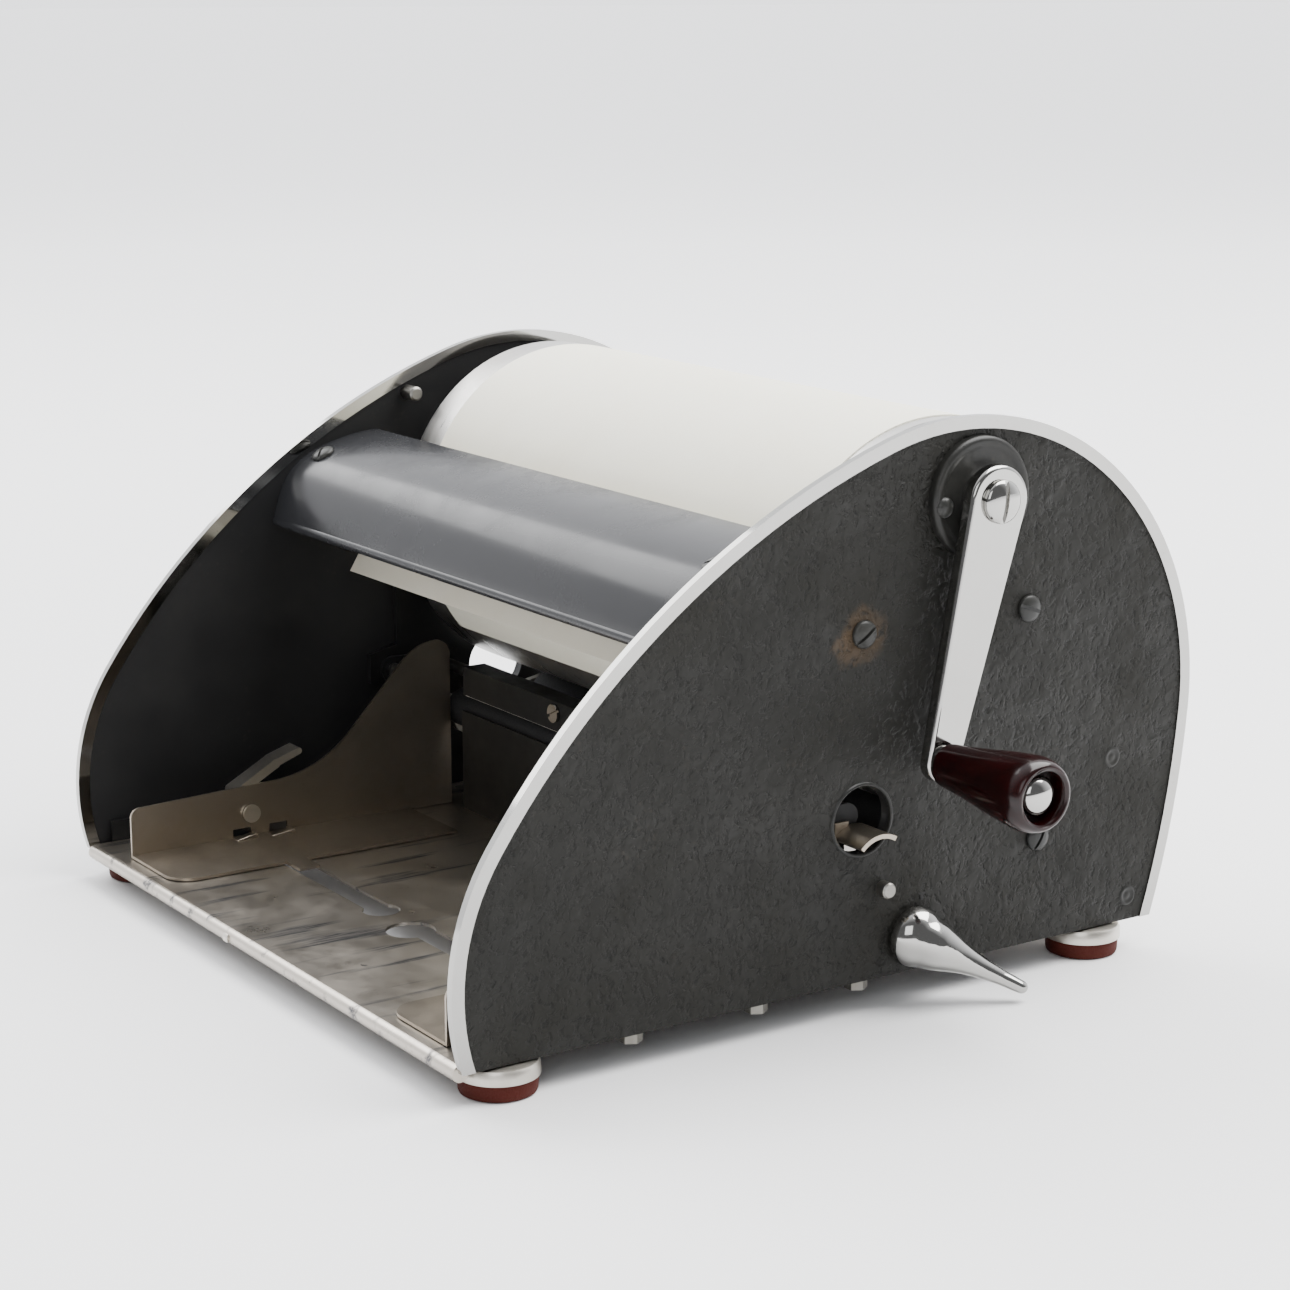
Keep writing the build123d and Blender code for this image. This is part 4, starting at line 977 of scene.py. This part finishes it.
# ------------------------------------------------------------------ sub-assemblies
@dataclass
class FrameNodes:
    """The CAD nodes that keep their own shape, with worn edges and real finishes.

    Attributes:
        edge_mm: radius given to their sharp edges.
        plain: nodes that get no edge radius.
    """

    edge_mm: float = 0.25
    plain: tuple[str, ...] = ("master_sheet", "drum_gear", "crank_gear", "impression_roller")

    def build(self) -> None:
        """Dresses every node from its slot in the record."""
        slots = {row["node"]: row["material_slot"] for row in frame["record"]["subparts"]}
        for name, node in frame["nodes"].items():
            node.data.materials.clear()
            node.data.materials.append(BY_NODE.get(name, BY_SLOT[slots[name]]).material())
            if name not in self.plain:
                edge = node.modifiers.new("edge", "BEVEL")
                edge.width = self.edge_mm * MM
                edge.segments = 2
                edge.limit_method = "ANGLE"
                edge.angle_limit = math.radians(40)
                edge.harden_normals = False
            LOG.info("%s: CAD node in %s", name, slots[name])


@dataclass
class SlottedScrew:
    """A domed screw head with a slot.

    Attributes:
        radius: of the head in millimetres.
        height: of the head.
        slot: width of the slot.
        turn: how far the slot is turned, in degrees.
    """

    radius: float
    height: float
    slot: float = 1.1
    turn: float = 0.0

    def profile(self, face: float, way: float) -> list[Point]:
        """Dome profile from the rim on a face to the middle.

        Args:
            face: x of the surface under the head.
            way: +1 or -1, the direction it stands out in.

        Returns:
            Its (x, radius) points.
        """
        flat = self.height * 0.35
        rise = self.height - flat
        steps = [(face, NEEDLE), (face, self.radius - 0.25), (face + way * 0.25, self.radius),
                 (face + way * flat, self.radius)]
        for i in range(1, 10):
            turn = math.radians(90 * i / 9)
            radius = max(NEEDLE, self.radius * math.cos(turn))
            steps.append((face + way * (flat + rise * math.sin(turn)), radius))
        return steps

    def build(self, name: str, face: float, way: float, centre: Point) -> bpy.types.Object:
        """Makes the head.

        Args:
            name: name of the piece.
            face: x of the surface under the head.
            way: +1 or -1, the direction it stands out in.
            centre: (y, z) of its middle.

        Returns:
            The head.
        """
        piece = Bench.turned(name, self.profile(face, way), centre, 40)
        top = face + way * self.height
        x_low, x_high = sorted((top - way * self.height * 0.5, top + way))
        low = at(x_low, centre[0] - self.radius * 1.5, centre[1] - self.slot / 2)
        high = at(x_high, centre[0] + self.radius * 1.5, centre[1] + self.slot / 2)
        return Bench.cut(piece, low, high, self.turn)


@dataclass
class Crank:
    """Crank arm, its hub screw, the boss behind it and the swelling handle.

    Attributes:
        axis: (y, z) of the crank shaft.
        grip: (y, z) of the handle at rest.
        arm_from: x of the arm's inner face.
        arm_to: x of its outer face.
        hub_r: radius of its hub end.
        tip_r: radius of its handle end.
    """

    axis: Point = (180.0, 145.0)
    grip: Point = (161.0, 67.4)
    arm_from: float = 136.0
    arm_to: float = 141.0
    hub_r: float = 10.8
    tip_r: float = 6.0

    def arm(self) -> bpy.types.Object:
        """The forged arm, rounded over its outer edges, with a raised hub behind.

        Returns:
            The arm.
        """
        run = Vector((self.grip[0] - self.axis[0], self.grip[1] - self.axis[1]))
        lean = math.degrees(math.atan2(run.y, run.x))
        tilt = math.degrees(math.asin((self.hub_r - self.tip_r) / run.length))
        outline = arc(self.axis, self.hub_r, lean + 90 - tilt, lean + 270 + tilt, 40)
        outline += arc(self.grip, self.tip_r, lean - 90 + tilt, lean + 90 - tilt, 26)
        piece = Bench.slab("crank_arm_forged", outline, self.arm_from, self.arm_to, 1.15)
        hub = Bench.turned("crank_hub", [(133.5, 5.2), (133.5, 8.6), (133.9, 9.0), (136.4, 9.0), (136.4, 5.2),
                                         (133.5, 5.2)], self.axis, 64)
        dress(hub, Look.BRIGHT, "crank")
        return dress(piece, Look.BRIGHT, "crank", "crank_arm")

    def hub_screw(self) -> bpy.types.Object:
        """Large domed screw in the hub.

        Returns:
            The screw head.
        """
        head = SlottedScrew(6.6, 3.0, 1.5, 84).build("hub_screw_head", 141.0, 1, self.axis)
        return dress(head, Look.BRIGHT, "crank", "hub_screw")

    def boss(self) -> bpy.types.Object:
        """Pressed bearing boss with a rolled rim, a recessed face and a small domed pin.

        Returns:
            The boss.
        """
        profile = [(130.0, 6.6), (130.0, 18.6), (131.6, 18.6)]
        profile += [(131.6 + 1.6 * math.sin(t), 17.0 + 1.6 * math.cos(t))
                    for t in (math.radians(a) for a in range(10, 91, 10))]
        profile += [(133.15, 16.0), (132.75, 15.2), (132.55, 14.6), (132.5, 9.6), (133.0, 8.8),
                    (133.2, 8.4), (133.2, 6.6), (130.0, 6.6)]
        piece = Bench.turned("crank_boss_pressed", profile, self.axis, 96)
        dress(piece, Look.BOSS, "frame", "crank_boss")
        pin = (self.axis[0] - 14.6, self.axis[1] - 1.6)
        dome = [(132.2, NEEDLE), (132.2, 3.2)] + crown(132.6, 1.9, 3.2, 0, 10)
        dress(Bench.turned("boss_pin_head", dome, pin, 36), Look.HEADS, "frame", "boss_pin")
        return piece

    def handle(self) -> bpy.types.Object:
        """Turned resin handle: slim neck, full swell and a deep round recess in its end.

        Returns:
            The handle.
        """
        neck, full, end, start = 6.8, 11.4, 186.0, 142.8
        profile: list[Point] = [(start, 3.1), (start, neck - 0.7), (start + 0.4, neck - 0.15),
                                (start + 1.2, neck)]
        for i in range(1, 25):
            share = i / 24
            swell = neck + (full - neck) * (0.62 * share + 0.38 * share * share * (3 - 2 * share))
            profile.append((start + 1.2 + (end - 6.5 - start - 1.2) * share, swell))
        for a in range(8, 97, 8):
            turn = math.radians(a)
            profile.append((end - 6.5 + 6.5 * math.sin(turn) * 0.99, full - 2.4 + 2.4 * math.cos(turn)))
        profile += [(end - 0.15, 8.7), (end - 0.5, 8.0), (end - 1.1, 7.75), (end - 6.0, 7.6),
                    (end - 6.0, 3.1), (start, 3.1)]
        piece = Bench.turned("handle_grip_turned", profile, self.grip, 96)
        return dress(piece, Look.GRIP, "handle", "handle_grip")

    def handle_fittings(self) -> None:
        """Domed nut in the recess, riveted bolt end and the collar at the neck."""
        nut: list[Point] = [(135.2, NEEDLE), (135.2, 3.2), (135.5, 4.4), (136.0, 5.0), (136.0, 3.0),
                            (180.3, 3.0), (180.3, 5.4), (180.6, 6.0), (182.2, 6.0)]
        nut += crown(182.3, 3.3, 6.0, 6, 7)
        collar: list[Point] = [(141.0, 3.0), (141.0, 5.3), (141.3, 5.7), (142.2, 5.7), (142.5, 5.3),
                               (142.5, 3.0), (141.0, 3.0)]
        for name, profile, node in (("handle_bolt_domed", nut, "handle_bolt"),
                                    ("handle_collar_turned", collar, "handle_collar")):
            dress(Bench.turned(name, profile, self.grip, 48), Look.BRIGHT, "crank", node)

    def build(self) -> None:
        """Builds every piece of the crank."""
        self.arm()
        self.hub_screw()
        self.boss()
        self.handle()
        self.handle_fittings()


@dataclass
class PressureLever:
    """Cast teardrop lever: a domed hub that runs out into a round tail.

    Attributes:
        hub: (y, z) of the shaft.
        tip: end of the tail.
        face: x of the hub's back.
        tail: share of the way to the tip, and the radius there.
    """

    hub: Point = (158.5, 11.5)
    tip: tuple[float, float, float] = (148.9, 187.0, -5.6)
    face: float = 130.7
    tail: tuple[Point, ...] = ((0.0, 8.6), (0.1, 8.6), (0.2, 8.1), (0.3, 6.8), (0.4, 5.4), (0.5, 4.3),
                               (0.62, 3.4), (0.8, 2.6), (1.0, 2.2))

    def build(self) -> bpy.types.Object:
        """Makes hub and tail as one skin, melted together and smoothed.

        Returns:
            The lever.
        """
        dome = [(self.face, NEEDLE), (self.face, 9.5), (self.face + 0.4, 9.9), (self.face + 1.4, 9.9)]
        dome += crown(self.face + 1.4, 7.4, 9.7, 6, 6)
        hub = Bench.turned("pressure_lever_cast", dome, self.hub, 72)
        root = at(self.face + 0.8, *self.hub)
        tip = at(*self.tip)
        way = (tip - root).normalized()
        facing = way.to_track_quat("Z", "Y").to_euler()
        Bench.clear()
        rings = []
        for share, radius in self.tail:
            bpy.ops.mesh.primitive_circle_add(vertices=40, radius=radius * MM, fill_type="NGON",
                                              location=root.lerp(tip, share), rotation=facing)
            rings.append(bpy.context.object)
        for ring in rings:
            ring.select_set(True)
        bpy.context.view_layer.objects.active = rings[0]
        bpy.ops.object.join()
        tail = bpy.context.object
        with Bench.editing(tail):
            bpy.ops.mesh.delete(type="ONLY_FACE")
            bpy.ops.mesh.select_all(action="SELECT")
            bpy.ops.mesh.bridge_edge_loops()
        Bench.clear()
        bpy.ops.mesh.primitive_uv_sphere_add(segments=40, ring_count=20, radius=2.2 * MM, location=tip)
        ball = bpy.context.object
        Bench.clear()
        for part in (ball, tail, hub):
            part.select_set(True)
        bpy.context.view_layer.objects.active = hub
        bpy.ops.object.join()
        with Bench.editing(hub):
            bpy.ops.mesh.fill_holes(sides=0)
        Bench.modify(hub, "REMESH", mode="VOXEL", voxel_size=0.28 * MM)
        Bench.modify(hub, "SMOOTH", factor=0.5, iterations=90)
        Bench.cut(hub, at(self.face - 20, 120, -40), at(self.face, 220, 60))
        Bench.tidy(hub, 60)
        return dress(hub, Look.BRIGHT, "pressure", "pressure_lever")


@dataclass
class Hood:
    """Curved sheet hood over the front of the drum, and the card apron below it.

    Attributes:
        half: half of the hood's length.
        sheet: thickness of its sheet.
    """

    half: float = 128.2
    sheet: float = 1.0

    def skin(self) -> bpy.types.Object:
        """Hood skin with a rolled lower bead.

        Returns:
            The skin.
        """
        outer: list[Point] = [(74.7, 108.6), (75.1, 112.2), (76.2, 116.2), (77.7, 120.2), (79.7, 123.8),
                              (82.3, 127.1), (85.4, 129.7), (89.2, 131.8), (93.8, 133.7), (99.3, 135.4),
                              (105.2, 136.8), (110.8, 137.7), (116.0, 138.3)]
        inner = [(y + 0.75 * self.sheet, z - 0.85 * self.sheet) for y, z in outer]
        inner[0] = (outer[0][0] + self.sheet, outer[0][1])
        piece = Bench.slab("hood_skin", outer + inner[::-1], -self.half, self.half, 0.0, 20)
        Bench.modify(piece, "BEVEL", width=0.3 * MM, segments=2, limit_method="ANGLE",
                     angle_limit=math.radians(50))
        Bench.tidy(piece, 40)
        bead = Bench.slab("hood_bead", arc((75.9, 108.6), 1.85, 0, 345, 23), -self.half, self.half, 0.25)
        dress(bead, Look.HOOD, "frame")
        return dress(piece, Look.HOOD, "frame", "hood")

    def apron(self) -> bpy.types.Object:
        """Card apron: a thin bowed sheet.

        Returns:
            The apron.
        """
        face = [(113.4, 136.2), (112.5, 129.5), (111.0, 122.5), (109.0, 115.0), (106.4, 107.5),
                (103.2, 100.2), (100.4, 94.8), (97.6, 90.2)]
        back = [(y + 0.32, z - 0.1) for y, z in face]
        piece = Bench.slab("paper_apron_card", face + back[::-1], -115, 115, 0.0, 40)
        return dress(Bench.tidy(piece, 60), Look.CARD, "frame", "paper_apron")

    def build(self) -> None:
        """Builds hood and apron."""
        self.skin()
        self.apron()


@dataclass
class PlateScrews:
    """Painted slotted screws on both side plates and on the hood.

    Attributes:
        spots: (y, z) of the screws of a side plate.
        turns: how far each one's slot is turned, in degrees.
        hood_spot: (y, z) of the hood's screws.
        hood_lean: lean of the hood's skin there, in degrees.
    """

    spots: tuple[Point, ...] = ((137.9, 108.0), (201.6, 108.2), (207.8, 34.3))
    turns: tuple[float, ...] = (35.0, -20.0, 60.0)
    hood_spot: Point = (90.2, 132.1)
    hood_lean: float = 27.0

    def build(self) -> None:
        """Makes each side plate's screw heads one by one, and the hood's head once, copied to both its
        places.
        """
        replaced = ["panel_screws"]
        for side in (1, -1):
            for number, (spot, turn) in enumerate(zip(self.spots, self.turns)):
                name = f"panel_screw_{'near' if side > 0 else 'far'}_{number + 1}"
                head = SlottedScrew(4.25, 2.35, 1.05, turn).build(name, side * PLATE_FACE, side, spot)
                dress(head, Look.HEADS, "frame", *replaced)
                replaced = []
        head = SlottedScrew(4.1, 2.1, 1.0, 40).build("hood_screw_left", 0, 1, (0, 0))
        head.data.transform(Matrix.Translation(-at(0, 0, 0)))
        stand = Matrix.Rotation(math.radians(-90), 4, "Y")
        lean = Matrix.Rotation(math.radians(self.hood_lean), 4, "X")
        for name, x, turn in (("hood_screw_left", -119.0, 0), ("hood_screw_right", 122.0, 70)):
            spin = Matrix.Rotation(math.radians(turn), 4, "Z")
            place = Matrix.Translation(at(x, *self.hood_spot)) @ lean @ spin @ stand
            piece = Bench.copy(head, name + "_head", place)
            dress(piece, Look.HEADS, "frame", *(["hood_screws"] if x < 0 else []))
        bpy.data.objects.remove(head)


@dataclass
class Rivets:
    """Flush rivets painted over in the side plates, and the ring rivets of the paper guides.

    Attributes:
        spots: (y, z) of the rivets of a side plate.
        guide_rivet: (y, z) of the rivet of a guide.
    """

    spots: tuple[Point, ...] = ((238.5, 55.5), (247.3, 8.1))
    guide_rivet: Point = (50.0, 11.0)

    def build(self) -> None:
        """Makes each rivet face as a turned crater."""
        ring: list[Point] = [(-0.6, NEEDLE), (-0.6, 3.2), (0.05, 3.3), (0.28, 2.9), (0.32, 2.5), (0.1, 2.1),
                             (-0.05, 1.5), (0.05, 1.0), (0.2, 0.7), (0.22, NEEDLE)]
        replaced = ["flush_rivets"]
        for side in (1, -1):
            for number, spot in enumerate(self.spots):
                name = f"flush_rivet_{'near' if side > 0 else 'far'}_{number + 1}"
                piece = Bench.turned(name, [(side * (PLATE_FACE + x), r) for x, r in ring], spot, 32)
                dress(piece, Look.BOSS, "frame", *replaced)
                replaced = []
        for body, wall, way in (("left_guide", -103.0, 1), ("right_guide", 112.0, -1)):
            rivet: list[Point] = [(-0.3, NEEDLE), (-0.3, 2.7), (0.01, 2.7), (0.22, 2.5), (0.22, 2.2),
                                  (0.01, 1.95), (0.01, 1.25), (0.22, 1.05), (0.22, 0.8), (-0.12, 0.5),
                                  (-0.12, NEEDLE)]
            placed = [(wall + way * x, r) for x, r in rivet]
            piece = Bench.turned(body + "_rivet", placed, self.guide_rivet, 36)
            dress(piece, Look.SATIN, body)


@dataclass
class Feet:
    """Rubber feet in pressed cups.

    Attributes:
        spots: (x, y) of each foot.
    """

    spots: tuple[Point, ...] = ((121.5, 16.5), (121.5, 236.0), (-121.5, 16.5), (-121.5, 236.0))

    def build(self) -> None:
        """Turns one cup and one pad and copies them to the other corners."""
        cup: list[Point] = [(-0.55, NEEDLE), (-0.55, 10.6), (-0.9, 11.6), (-1.9, 12.2), (-4.6, 12.3),
                            (-5.1, 12.25), (-5.2, 12.0), (-5.15, 11.55), (-1.4, 11.5), (-1.4, NEEDLE)]
        pad: list[Point] = [(-1.4, NEEDLE), (-1.4, 11.3), (-5.3, 11.5), (-6.4, 11.65), (-9.2, 11.5),
                            (-10.0, 11.2), (-10.4, 10.4), (-10.4, 4.6), (-10.0, 4.0), (-6.4, 3.8),
                            (-6.4, NEEDLE)]
        upright = Matrix.Rotation(math.radians(-90), 4, "Y")
        for label, profile, finish, node in (("foot_cup", cup, Look.CUP, "foot_cups"),
                                             ("foot_pad", pad, Look.FOOT, "foot_pads")):
            first = Bench.turned(label, profile, (0, 0), 64)
            first.data.transform(Matrix.Translation(-at(0, 0, 0)))
            for number, (x, y) in enumerate(self.spots):
                made = Bench.copy(first, f"{label}_{number + 1}", Matrix.Translation(at(x, y, 0)) @ upright)
                dress(made, finish, "frame", *([node] if number == 0 else []))
            bpy.data.objects.remove(first)


@dataclass
class SheetDetails:
    """Small details of the sheet metal: lanced tabs, hem catch, rolled rim and index mark.

    Attributes:
        tabs: for each tab of a guide, where it starts and ends along y, its rise and its reach.
        opening: (y, z) of the near plate's round opening.
    """

    tabs: tuple[tuple[float, float, float, float], ...] = ((42.5, 50.5, 1.3, 4.4), (55.5, 64.5, 0.9, 5.6))
    opening: Point = (138.6, 51.0)

    def tab(self, name: str, outline: Sequence[Point], x_from: float, x_to: float, finish: Finish,
            body: str) -> None:
        """Makes one bent tab from its section.

        Args:
            name: name of the piece.
            outline: (y, z) section.
            x_from: one side.
            x_to: the other side.
            finish: its surface.
            body: the body it belongs to.
        """
        dress(Bench.slab(name, outline, x_from, x_to, 0.18), finish, body)

    def build(self) -> None:
        """Adds the details to guides, tray and near plate."""
        for body, wall, way in (("left_guide", -103.0, 1), ("right_guide", 112.0, -1)):
            for number, (start, end, rise, wide) in enumerate(self.tabs):
                outline = [(start, 2.6), (end, 2.6), (end, 3.2 + rise), (end - 0.7, 3.3 + rise), (start, 3.2)]
                near, far = sorted((wall + way * 0.9, wall + way * wide))
                self.tab(f"{body}_tab_{number + 1}", outline, near, far, Look.SATIN, body)
        catch = [(-1.1, -2.4), (-1.75, -2.2), (-1.95, -0.6), (-1.35, 0.5), (-1.0, 0.2)]
        self.tab("hem_catch", catch, -18.4, -15.2, Look.CUP, "frame")
        rim: list[Point] = [(129.6, 10.5), (129.6, 11.6), (130.05, 11.7), (130.4, 11.4), (130.5, 11.0),
                            (130.3, 10.6), (129.6, 10.5)]
        dress(Bench.turned("near_opening_rim", rim, self.opening, 72), Look.BOSS, "frame")
        # index mark: a thin raised tick in the dark inner paint, painted shade standing for the shadowed
        # engraved slot
        mark = [(161.4, 22.0), (162.6, 22.0), (162.6, 23.6), (163.4, 23.6), (163.4, 24.3), (160.6, 24.3),
                (160.6, 23.6), (161.4, 23.6)]
        self.tab("index_mark", mark, 129.9, 130.3, Look.INNER, "frame")


@dataclass
class Studio:
    """Pale table with a painted glow far out, soft lights and the camera.

    Attributes:
        eye: the camera, in the machine's layout.
        way: where it looks.
        lens: its focal length in millimetres.
        floor_color: the table's colour.
        backdrop: brightness of the surroundings behind the machine, and the scale of the light painted as a
            glow on the far table.
        room: brightness of the room in front of it.
        behind: opposite of the way towards the backdrop.
    """

    eye: tuple[float, float, float] = (785.6, -375.8, 295.5)
    way: tuple[float, float, float] = (-0.8112, 0.5402, -0.2239)
    lens: float = 80.8
    floor_color: Color = (0.86, 0.86, 0.865)
    backdrop: float = 2.3
    room: float = 0.25
    behind: tuple[float, float, float] = (0.83, -0.55, -0.25)

    def floor(self) -> None:
        """A wide pale table top that glows far from the machine: painted light that makes the far table a
        bright backdrop.
        """
        Bench.clear()
        bpy.ops.mesh.primitive_plane_add(size=60, location=(0, 0, 0))
        table = bpy.context.object
        table.name = "table_top"
        made = bpy.data.materials.new("pale_table")
        made.use_nodes = True
        graph = Graph(made.node_tree)
        coords = graph.node("TexCoord", {}).outputs["Object"]
        shader = made.node_tree.nodes["Principled BSDF"]
        shade = tuple(c * 0.96 for c in self.floor_color)
        tone = graph.blend(graph.noise(coords, 6, 4), self.floor_color, shade)
        graph.wire(shader.inputs["Base Color"], tone)
        graph.wire(shader.inputs["Roughness"], 0.75)
        # painted light: no glow within half a metre of the machine, rising to 0.45 of the backdrop brightness
        # 2.5 m out
        away = graph.node("VectorMath", {0: coords}, operation="LENGTH").outputs[1]
        graph.wire(shader.inputs["Emission Color"], (0.98, 0.985, 1, 1))
        graph.wire(shader.inputs["Emission Strength"], graph.span(away, 0.5, 2.5, 0.0, self.backdrop * 0.45))
        table.data.materials.append(made)

    def light(self, name: str, place: tuple[float, float, float], size: float, power: float,
              color: Color = (1, 1, 1)) -> None:
        """Adds one soft light aimed at the machine.

        Args:
            name: name of the light.
            place: where it stands, in metres.
            size: its width.
            power: its power in watts.
            color: its colour.
        """
        data = bpy.data.lights.new(name, "AREA")
        data.size, data.energy, data.color = size, power, color
        lamp = bpy.data.objects.new(name, data)
        lamp.location = place
        lamp.rotation_euler = (Vector((0, 0, 0.08)) - Vector(place)).to_track_quat("-Z", "Y").to_euler()
        bpy.context.scene.collection.objects.link(lamp)

    def build(self) -> None:
        """Sets up table, lights, surroundings and camera."""
        self.floor()
        self.light("key", (0.35, 1.0, 2.0), 2.0, 150, (1, 0.995, 0.985))
        self.light("fill", (1.6, -1.3, 1.1), 1.2, 14, (0.97, 0.985, 1))
        self.light("rear", (-1.4, -0.4, 1.5), 1.4, 34)
        world = bpy.data.worlds.new("studio")
        world.use_nodes = True
        graph = Graph(world.node_tree)
        toward = graph.node("NewGeometry", {}).outputs["Incoming"]
        behind = graph.node("VectorMath", {0: toward, 1: self.behind}, operation="DOT_PRODUCT").outputs[1]
        sheet = world.node_tree.nodes["Background"]
        graph.wire(sheet.inputs["Color"], (0.96, 0.97, 1.0, 1))
        graph.wire(sheet.inputs["Strength"], graph.span(behind, -0.35, 0.45, self.room, self.backdrop))
        bpy.context.scene.world = world
        data = bpy.data.cameras.new("camera")
        data.lens, data.sensor_width, data.clip_start = self.lens, 36, 0.01
        camera = bpy.data.objects.new("camera", data)
        camera.location = at(*self.eye)
        camera.rotation_euler = Vector(self.way).to_track_quat("-Z", "Y").to_euler()
        bpy.context.scene.collection.objects.link(camera)
        bpy.context.scene.camera = camera


def main() -> None:
    """Builds the machine in order."""
    logging.basicConfig(level=logging.INFO, format="%(message)s")
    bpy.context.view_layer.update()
    FrameNodes().build()
    for part in (Crank(), PressureLever(), Hood(), PlateScrews(), Rivets(), Feet(), SheetDetails(), Studio()):
        LOG.info("building %s", type(part).__name__)
        part.build()


if __name__ == "__main__":
    main()
